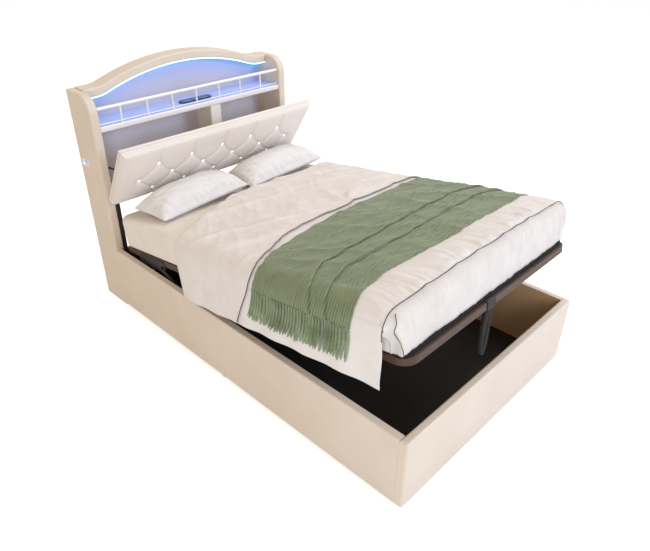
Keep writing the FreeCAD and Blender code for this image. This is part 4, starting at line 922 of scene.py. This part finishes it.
piping = piece_of("duvet_piping", *joined([tube(along_cuff(), 1.8), tube(along_foot(), 1.6),
                                           tube(along_pleat(), 1.5)]),
                  PLATFORM, piping_cotton)
edging = piece_of("duvet_edge_binding", *joined([tube(down_side(-1), 1.6),
                                                 tube(down_side(1), 1.6)]),
                  PLATFORM, duvet_cotton)
for piece in (duvet, duvet_foot, cuff, piping, edging):
    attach(piece, "platform")
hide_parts("duvet")

# %% [markdown]
# ## Blanket
#
# The knitted blanket is folded in three, so two folds show as ridges across it. It follows
# the duvet under it. Below each side's woven end hangs a fringe of twisted yarn.

# %% Blanket
THROW_START, THROW_END, THROW_LIFT, WOVEN_LOW = 215, 790, 5.5, 128
woven = walked(WOVEN_LOW)
HEAD_SWING = ((-720, -66), (-660, -84), (-590, -80), (-496, -36), (-430, -24), (-325, -6),
              (-170, 12), (60, 30), (560, 26), (640, -20), (720, -40))
FOOT_SWING = ((-720, -22), (-660, -32), (-610, -27), (-520, 4), (-430, 18), (-200, 12), (60, 0),
              (560, 0), (640, -16), (720, -22))


def fold_lines(u):
    """Where the two folded edges lie at a walked distance u across the bed."""
    slant = 22 * min(1, max(-1, u / FLAT))
    hang = smooth(abs(u), FLAT * 0.8, woven)
    return 500 + slant - 100 * hang, 385 + slant * 0.6 - 72 * hang


def throw_relief(u, s):
    """Two folded edges stand up across the blanket, and slow waves run along it."""
    ridges = sum(9.0 * math.exp(-(s - line) / 60) * smooth(s, line, line + 5)
                 for line in fold_lines(u) if s >= line)
    waves = 3.2 * cloud(u / 100, s / 60, 31) + 4.0 * crease(u / 260, (s + u * 0.25) / 46, 33)
    hang = smooth(abs(u), FLAT + BEND, woven)
    return ridges + waves + hang * 2.2 * math.sin(s / 17.0 + (u > 0))


def throw_point(u, row):
    """Just below a folded edge the cloth is tucked back under it, so the edge casts a shade."""
    ends = 1 - smooth(min(row - THROW_START, THROW_END - row), 0, 10)
    share = (row - THROW_START) / (THROW_END - THROW_START)
    s = row + share * between(u, HEAD_SWING) + (1 - share) * between(u, FOOT_SWING)
    near = [s - line for line in fold_lines(u)]
    tuck = sum(10 * math.exp(gap / 5) for gap in near if gap < 0)
    sunk = sum(4.5 * math.exp(-abs(gap + 4) / 4) for gap in near)
    return cover_point(u, s, THROW_LIFT + throw_relief(u, s) - 2.0 * ends - sunk) + Vector(
        (0, tuck, 0))


throw_us = steps(-woven, woven, 7)
throw_rows = steps(THROW_START, THROW_END, 2.8)
verts, faces, uvs = grid(throw_us, throw_rows, throw_point)
throw = thicken(piece_of("knitted_throw", verts, faces, PLATFORM, knit, uvs), 3.6)
print("throw", len(throw.data.vertices), "points")

# %% Fringe
TASSEL_PITCH, TASSEL_LENGTH, TASSEL_STEPS, STRAND, TWIST_LENGTH = 17.5, 146, 28, 3.3, 24


def tassel(side, s, seed, out):
    """Two strands of yarn twisted round each other, hanging from the woven end."""
    rng = random.Random(seed)
    length = TASSEL_LENGTH * rng.uniform(0.93, 1.04)
    sway = 30 + 30 * (s - THROW_START) / (THROW_END - THROW_START) + rng.uniform(-3, 3)
    top = throw_point(side * woven, s)
    strands = []
    for phase in (0, math.pi):
        path = []
        for step in range(TASSEL_STEPS + 1):
            share = step / TASSEL_STEPS
            twist = phase + share * length / TWIST_LENGTH * 2 * math.pi + seed
            round_by = 2.3 * (0.4 + 0.6 * math.sin(math.pi * min(0.9, share + 0.1)))
            path.append(Vector((
                top.x + side * (out + round_by * math.cos(twist) + 1.2 * share),
                top.y + sway * share ** 1.6 + round_by * math.sin(twist),
                top.z + 3 - share * length)))
        strands.append(tube(path, STRAND, 6, lambda share: 0.85 + 0.35 * math.sin(
            math.pi * share) if share < 0.93 else 0.6))
    return joined(strands)


tassels = []
for side in (-1, 1):
    for number, s in enumerate(steps(THROW_START + 6, THROW_END - 6, TASSEL_PITCH)):
        tassels.append(tassel(side, s, number + (500 if side > 0 else 0), 1.5))
        if number:
            tassels.append(tassel(side, s - TASSEL_PITCH / 2, number + 250, -4.5))
fringe = piece_of("throw_fringe", *joined(tassels), PLATFORM, yarn)
for piece in (throw, fringe):
    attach(piece, "platform")
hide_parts("throw")
print("fringe", len(tassels), "tassels")

# %% [markdown]
# ## Pillows
#
# A pillow is two panels sewn round their edge, so its corners stay sharp while the middle
# fills out. The mesh starts as that shape and is then blown up as cloth.

# %% Pillows
PILLOW_WIDE, PILLOW_DEEP, PILLOW_RISE, PILLOW_SAG = 578, 270, 97, 32


def pillow_mesh():
    """Two panels that meet at a seam whose sides are drawn in between the corners."""
    count_u, count_v = 60, 34
    verts, faces = [], []
    index = {}
    for face_side in (1, -1):
        for j in range(count_v + 1):
            for i in range(count_u + 1):
                u, v = 2 * i / count_u - 1, 2 * j / count_v - 1
                edge = i in (0, count_u) or j in (0, count_v)
                if edge and face_side < 0:
                    index[face_side, i, j] = index[1, i, j]
                    continue
                full = ((1 - abs(u) ** 3.2) * (1 - abs(v) ** 2.6)) ** 0.62
                x = PILLOW_WIDE / 2 * u * (1 - 0.035 * (1 - v * v))
                y = PILLOW_DEEP / 2 * v * (1 - 0.085 * (1 - u * u))
                high = PILLOW_RISE if face_side > 0 else -PILLOW_SAG
                index[face_side, i, j] = len(verts)
                verts.append((x, y, face_side * 2.5 * (not edge) + high * full))
        for j in range(count_v):
            for i in range(count_u):
                quad = [index[face_side, a, b] for a, b in ((i, j), (i + 1, j), (i + 1, j + 1),
                                                            (i, j + 1))]
                faces.append(tuple(quad[::face_side]))
    return verts, faces


def pillow_crease(x, y, seed):
    """How deep the cotton is drawn in: folds that run in from the seam, and broad hollows."""
    u, v = 2 * abs(x) / PILLOW_WIDE, 2 * abs(y) / PILLOW_DEEP
    tight = smooth(max(u, v), 0.15, 0.75)
    lean = x + 0.6 * y + 14 * cloud(x / 90, y / 70, seed + 1)
    return (7.5 * tight * crease(lean / 42, y / 190, seed + 3)
            + 5.0 * crease((lean + y) / 75, (y - x * 0.5) / 110, seed + 5)
            + 3.0 * (1 + cloud(x / 80, y / 50, seed)))


def pillow(name, node, seed, x, s, n, pitch, roll, turn):
    """Lays a pillow on the bed: its back raised, rolled to one side and turned."""
    lay = (PLATFORM @ Matrix.Translation((x, s, n)) @ Matrix.Rotation(math.radians(turn), 4, "Z")
           @ Matrix.Rotation(math.radians(-roll), 4, "Y")
           @ Matrix.Rotation(math.radians(pitch), 4, "X"))
    made = piece_of(name, *pillow_mesh(), lay, pillow_cotton)
    puff(made, voxel=6, pressure=3.0, cap=5)
    back, normals = lay.inverted(), [vertex.normal.copy() for vertex in made.data.vertices]
    for vertex, normal in zip(made.data.vertices, normals):
        local = back @ vertex.co
        if local.z > 6:
            vertex.co -= normal * pillow_crease(local.x, local.y, seed) * min(1, local.z / 30) * MM
    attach(made, "platform")
    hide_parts(node)
    print(name, len(made.data.vertices), "points")


pillow("pillow_left_cover", "pillow_left", seed=41, x=-262, s=1662, n=248.5, pitch=6, roll=2,
       turn=3)
pillow("pillow_right_cover", "pillow_right", seed=47, x=318, s=1668, n=248.5, pitch=6, roll=2,
       turn=2)

# %% [markdown]
# ## Tufted flap
#
# Buttons are drawn through the foam on a diamond grid. Between neighbouring buttons the
# leather folds into a crease, and from the top row a pleat runs straight to the edge. The
# depth of each point comes from its distance to the nearest button and the nearest crease.

# %% Buttons and creases
FLAP_HALF, FLAP_LOW, FLAP_TOP = 622, 4, 378
PAD_BACK, PAD_THICK, PAD_CROWN, PAD_ROUND = 22, 34, 8, 19
TUFT_PITCH, TUFT_TOP_GAP, TUFT_ROW_GAP, TUFT_DEPTH = 200, 128, 95, 10
ROWS = [[(TUFT_PITCH * (i - (count - 1) / 2), FLAP_TOP - TUFT_TOP_GAP - TUFT_ROW_GAP * row)
         for i in range(count)] for row, count in enumerate((5, 6, 5))]
BUTTONS = [spot_at for row in ROWS for spot_at in row]
CREASES = []
for upper, lower in ((ROWS[0], ROWS[1]), (ROWS[2], ROWS[1])):
    for x, z in upper:
        CREASES += [((x, z), (bx, bz)) for bx, bz in lower if abs(bx - x) < TUFT_PITCH]
CREASES += [((x, z), (x, FLAP_TOP + 30)) for x, z in ROWS[0]]
CREASES += [((x, z), (x, FLAP_LOW - 30)) for x, z in ROWS[2]]


def to_segment(x, z, ends):
    """Distance from a point to a segment."""
    (ax, az), (bx, bz) = ends
    share = ((x - ax) * (bx - ax) + (z - az) * (bz - az)) / ((bx - ax) ** 2 + (bz - az) ** 2)
    share = min(1, max(0, share))
    return math.hypot(x - ax - share * (bx - ax), z - az - share * (bz - az))


def pad_point(x, z):
    """The pad's face: round at its rim, crowned, and drawn in at buttons and creases."""
    rim = min(FLAP_HALF - abs(x), z - FLAP_LOW, FLAP_TOP - z)
    edge = math.sqrt(1 - (1 - min(1, max(0, rim) / PAD_ROUND)) ** 2)
    crown = PAD_CROWN * (1 - ((z - 191) / 187) ** 2) * smooth(FLAP_HALF - abs(x), 0, 120)
    near = min(math.hypot(x - bx, z - bz) for bx, bz in BUTTONS)
    line = min(to_segment(x, z, ends) for ends in CREASES)
    middle = smooth(rim, 0, 40)
    drawn = (TUFT_DEPTH * math.exp(-max(0, near - 9) / 17) + 4.0 * math.exp(-line / 4.5)) * (
        0.25 + 0.75 * middle)
    plump = 4.5 * (1 - math.exp(-line / 14)) * middle - 0.5
    ruck = 0.9 * cloud(x / 26, z / 26, 51) * math.exp(-line / 30)
    return Vector((x, -PAD_BACK - PAD_THICK * edge - edge * (crown - drawn + plump - 3 + ruck), z))


# %% Flap pad
def rim_steps(low, high, pitch):
    """Even steps with finer ones near both ends, for the round rim."""
    ends = [0, 0.4, 1.5, 3.2, 5.6, 8.6, 12, 16, 21]
    inner = steps(low + 26, high - 26, pitch)
    return [low + e for e in ends] + inner + [high - e for e in reversed(ends)]


pad_xs, pad_zs = rim_steps(-FLAP_HALF, FLAP_HALF, 4), rim_steps(FLAP_LOW, FLAP_TOP, 4)
verts, faces, _ = grid(pad_xs, pad_zs, pad_point)
wide = len(pad_xs)
rim = ([i for i in range(wide)] + [r * wide + wide - 1 for r in range(1, len(pad_zs))]
       + [(len(pad_zs) - 1) * wide + i for i in range(wide - 2, -1, -1)]
       + [r * wide for r in range(len(pad_zs) - 2, 0, -1)])
faces.append(tuple(reversed(rim)))
flap_pad = piece_of("tufted_flap_pad", verts, faces, FLAP, flap_leather_painted_lighter)
flap_pad.data.polygons[-1].use_smooth = False
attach(flap_pad, "flap")
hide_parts("flap_cushion")
print("flap pad", len(flap_pad.data.vertices), "points")

# %% [markdown]
# The buttons are cut acrylic crystals with a mirror backing. Their sparkle is a painted glint: each
# crystal glows with a little white light of its own. Each crystal is a low dome with flat facets,
# so it isn't smoothed.

# %% Crystal buttons
crystal, tree, shader, spot = finish("cut acrylic crystal with painted glint", "#F6F8FA", 0.04, IOR=1.49,
                                     Metallic=0.55)
shader.inputs["Coat Weight"].default_value = 0.6
shader.inputs["Coat Roughness"].default_value = 0.03
# Painted glint: the crystals glow white.
shader.inputs["Emission Color"].default_value = linear("#FFFFFF")
shader.inputs["Emission Strength"].default_value = 0.7


def crystal_button(x, z, radius=10, rise=8, sides=10):
    """A round dome of three facet rings under a flat table, with its foot in the leather."""
    base_y = pad_point(x, z).y + 0.5
    rings = ((1.0, 0.0), (1.0, 0.28), (0.72, 0.75), (0.38, 1.0))
    verts, faces = [], []
    for row, (wide_share, high_share) in enumerate(rings):
        for k in range(sides):
            turn = 2 * math.pi * (k + 0.5 * (row % 2)) / sides
            verts.append(Vector((x + radius * wide_share * math.cos(turn),
                                 base_y - rise * high_share,
                                 z + radius * wide_share * math.sin(turn))))
    for row in range(len(rings) - 1):
        for k in range(sides):
            a, b = row * sides + k, row * sides + (k + 1) % sides
            faces += [(a, b, b + sides), (a, b + sides, a + sides)]
    faces.append(tuple(range(len(verts) - sides, len(verts))))
    faces.append(tuple(range(sides))[::-1])
    return verts, faces


buttons = piece_of("crystal_buttons", *joined([crystal_button(x, z) for x, z in BUTTONS]), FLAP,
                   crystal)
faceted(buttons)
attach(buttons, "flap")
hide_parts("flap_buttons")
print(len(BUTTONS), "buttons")

# %% [markdown]
# ## Lit details on the headboard
#
# The charging panel has a pale ring round each outlet and a line round its rim. The control
# plate on the left post has four lit keys. Each is found from the CAD piece that it sits on.

# %% Rings and keys
def ring_path(centre, radius, stretch=0.0):
    """A closed loop in the level plane, drawn out along X by a stretch."""
    return [centre + Vector((radius * math.cos(2 * math.pi * k / 32)
                             + math.copysign(stretch, math.cos(2 * math.pi * k / 32)),
                             radius * math.sin(2 * math.pi * k / 32), 0)) for k in range(33)]


low, high = (Vector(corner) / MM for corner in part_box("charging_panel"))
panel_middle = Vector(((low.x + high.x) / 2, (low.y + high.y) / 2, high.z + 0.4))
SOCKET_GAP, SOCKET_RING = 52, 19.5
rings = [tube(ring_path(panel_middle + Vector((way * SOCKET_GAP, 0, 0)), SOCKET_RING), 1.1, 6)
         for way in (-1, 1)]
rings.append(tube(ring_path(panel_middle, 9, 8), 0.9, 6))
rings.append(tube(ring_path(panel_middle, 20.5, 79), 0.9, 6))
socket_rings = piece_of("socket_rings", *joined(rings), ROOM, pale_abs)
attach(socket_rings, "bed_frame")

low, high = (Vector(corner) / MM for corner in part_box("side_control_plate"))
plate_middle = (low + high) / 2
KEY, KEY_GAP, KEY_SPREAD = 13, 17, 6
keys = []
for name, tint, along, rise in (("cyan", "#58DDF2", 1, 1), ("pink", "#F48AC0", -1, -1),
                                ("blue", "#5AA0F4", -1, 1), ("white", "#E8F6FF", 1, -1)):
    lit, tree, shader, spot = finish("lit silicone key, " + name, tint, 0.4)
    shader.inputs["Emission Color"].default_value = linear(tint)
    shader.inputs["Emission Strength"].default_value = 0.45
    centre = Vector((low.x - 0.3, plate_middle.y + along * KEY_GAP / 2 + along * KEY_SPREAD,
                     plate_middle.z + rise * KEY_GAP / 2))
    loop_points = [centre + Vector((0, (KEY / 2 + 4) * a, KEY / 2 * b)) for a, b in
                   ((-1, -0.6), (-0.7, -1), (0.7, -1), (1, -0.6), (1, 0.6), (0.7, 1), (-0.7, 1),
                    (-1, 0.6))]
    verts = loop_points + [point + Vector((1.2, 0, 0)) for point in loop_points]
    faces = [tuple(range(8)), tuple(range(15, 7, -1))] + [
        (k, k + 8, (k + 1) % 8 + 8, (k + 1) % 8) for k in range(8)]
    key = piece_of("lit_key_" + name, verts, faces, ROOM, lit)
    faceted(key)
    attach(key, "bed_frame")
    keys.append(key)
print(len(rings), "rings and", len(keys), "keys")

# %% [markdown]
# ## Painted shade at the foot
#
# A black strip along the foot tube under the duvet's tuck is painted shade: it stands for the shade
# in the gap and shows as a dark line between the duvet and the tube.

# %% Painted shade strip
felt_as_painted_shade, tree, shader, spot = finish("needle felt, black", "#100F0E", 0.95)
strip_relief = add(tree, "TexNoise", {"Vector": (spot, "Object")}, {"Scale": 1000 / 3, "Detail": 3})
raised(tree, shader, (strip_relief, "Fac"), 0.8, 0.6)
SHADE_STRIP_HALF, SHADE_STRIP_FRONT, SHADE_STRIP_BACK, SHADE_STRIP_LOW, SHADE_STRIP_HIGH = 588, 17, 32, 30.3, 46
shade_strip_verts = []
for x in steps(-SHADE_STRIP_HALF, SHADE_STRIP_HALF, 12):
    bow = 16 * smooth(abs(x), 540, SHADE_STRIP_HALF)
    ruffle = 1.5 * cloud(x / 30, 1.0, 61)
    for s, n in ((SHADE_STRIP_FRONT, SHADE_STRIP_LOW), (SHADE_STRIP_BACK, SHADE_STRIP_LOW), (SHADE_STRIP_BACK, SHADE_STRIP_HIGH),
                 (SHADE_STRIP_FRONT, SHADE_STRIP_HIGH - 6 + ruffle)):
        shade_strip_verts.append((x, s + bow, n))
shade_strip_faces = bands(len(shade_strip_verts) // 4, 4)
shade_strip_faces += [(3, 2, 1, 0), tuple(range(len(shade_strip_verts) - 4, len(shade_strip_verts)))]
# A dark strip where there is only shade: painted shade.
painted_shade_strip = piece_of("foot_painted_shade_strip", shade_strip_verts, shade_strip_faces, PLATFORM, felt_as_painted_shade)
faceted(painted_shade_strip)
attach(painted_shade_strip, "platform")
print("felt strip from", SHADE_STRIP_LOW, "to", SHADE_STRIP_HIGH, "mm above the slats")

# %% [markdown]
# ## Pull strap
#
# A flat webbing loop is sewn round the foot tube. It is swept along its path as a thin
# ribbon, with rows of stitches where the ends are sewn together.

# %% Pull strap
STRAP_X, STRAP_DROP, STRAP_WIDE, STRAP_THICK, STRAP_STEPS = -62, 237, 26, 3.2, 60


def ribbon(path, across_by, thick_by):
    """A flat ribbon along points, given its half width and half thickness at each."""
    verts = [centre + wide_by * a + out * b for centre, wide_by, out in zip(
        path, across_by, thick_by) for a, b in ((-1, -1), (1, -1), (1, 1), (-1, 1))]
    return verts, bands(len(path), 4) + [(3, 2, 1, 0), tuple(range(len(verts) - 4, len(verts)))]


def hanging_loop():
    """The loop hangs plumb, so it is drawn in the room's own directions."""
    hook = PLATFORM @ Vector((STRAP_X, 13, -0.5))
    hook = Vector((hook.x, hook.y, hook.z)) / MM
    path, wides, outs = [], [], []
    for step in range(STRAP_STEPS + 1):
        turn = step / STRAP_STEPS * 2 - 1
        drop = STRAP_DROP * (1 - abs(turn) ** 1.9)
        gap = 15 * math.sin(math.pi * min(1, 1 - abs(turn)) ** 0.75) + 3
        path.append(hook + Vector((math.copysign(gap, turn) if abs(turn) > 0.02 else 0, 0,
                                   -drop)))
    for i, point in enumerate(path):
        ahead = (path[min(i + 1, STRAP_STEPS)] - path[max(i - 1, 0)]).normalized()
        lean = math.radians(7 * math.sin(i / STRAP_STEPS * math.pi * 2))
        wide_by = Vector((math.sin(lean), math.cos(lean), 0))
        wides.append(wide_by * STRAP_WIDE / 2)
        outs.append(wide_by.cross(ahead).normalized() * STRAP_THICK / 2)
    return ribbon(path, wides, outs)


loop = piece_of("pull_strap_loop", *hanging_loop(), ROOM, webbing)


def wrap_band():
    """The band that goes round the tube, from under the mattress to the loop."""
    half, gap, thick = 30, 0.6, 3.4
    outline = [(14.2, 30 + gap), (-gap, 30 + gap), (-gap, -gap), (25 + gap, -gap)]
    outside = [(14.2, 30 + gap + thick), (-gap - thick, 30 + gap + thick),
               (-gap - thick, -gap - thick), (25 + gap + thick, -gap - thick)]
    verts, faces = [], []
    for side in (-half, half):
        verts += [Vector((STRAP_X + side, y, z)) for y, z in outline + outside]
    for k in range(3):
        a, b, c, e = k, k + 1, k + 5, k + 4
        faces += [(a, b, b + 8, a + 8), (e, e + 8, c + 8, c), (a, e, c, b),
                  (a + 8, b + 8, c + 8, e + 8)]
    faces += [(0, 8, 12, 4), (3, 7, 15, 11)]
    return verts, faces


band = piece_of("pull_strap_band", *wrap_band(), PLATFORM, webbing)
rounded_edges = band.modifiers.new("soft edges", "BEVEL")
rounded_edges.width, rounded_edges.segments = 1.2 * MM, 2
faceted(band)


def stitch_rows():
    """Short thread runs across the band, where the strap is sewn to it."""
    runs = []
    for level_n in (6, 10, 20, 24):
        for x in steps(STRAP_X - 24, STRAP_X + 24, 5)[:-1]:
            runs.append(tube([Vector((x + 0.6, -4.2, level_n)), Vector((x + 2.0, -4.6, level_n)),
                              Vector((x + 3.8, -4.2, level_n))], 0.35, 5))
    return joined(runs)


stitches = piece_of("pull_strap_stitches", *stitch_rows(), PLATFORM, black_nylon)
for piece in (loop, band, stitches):
    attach(piece, "platform")
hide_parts("pull_strap")
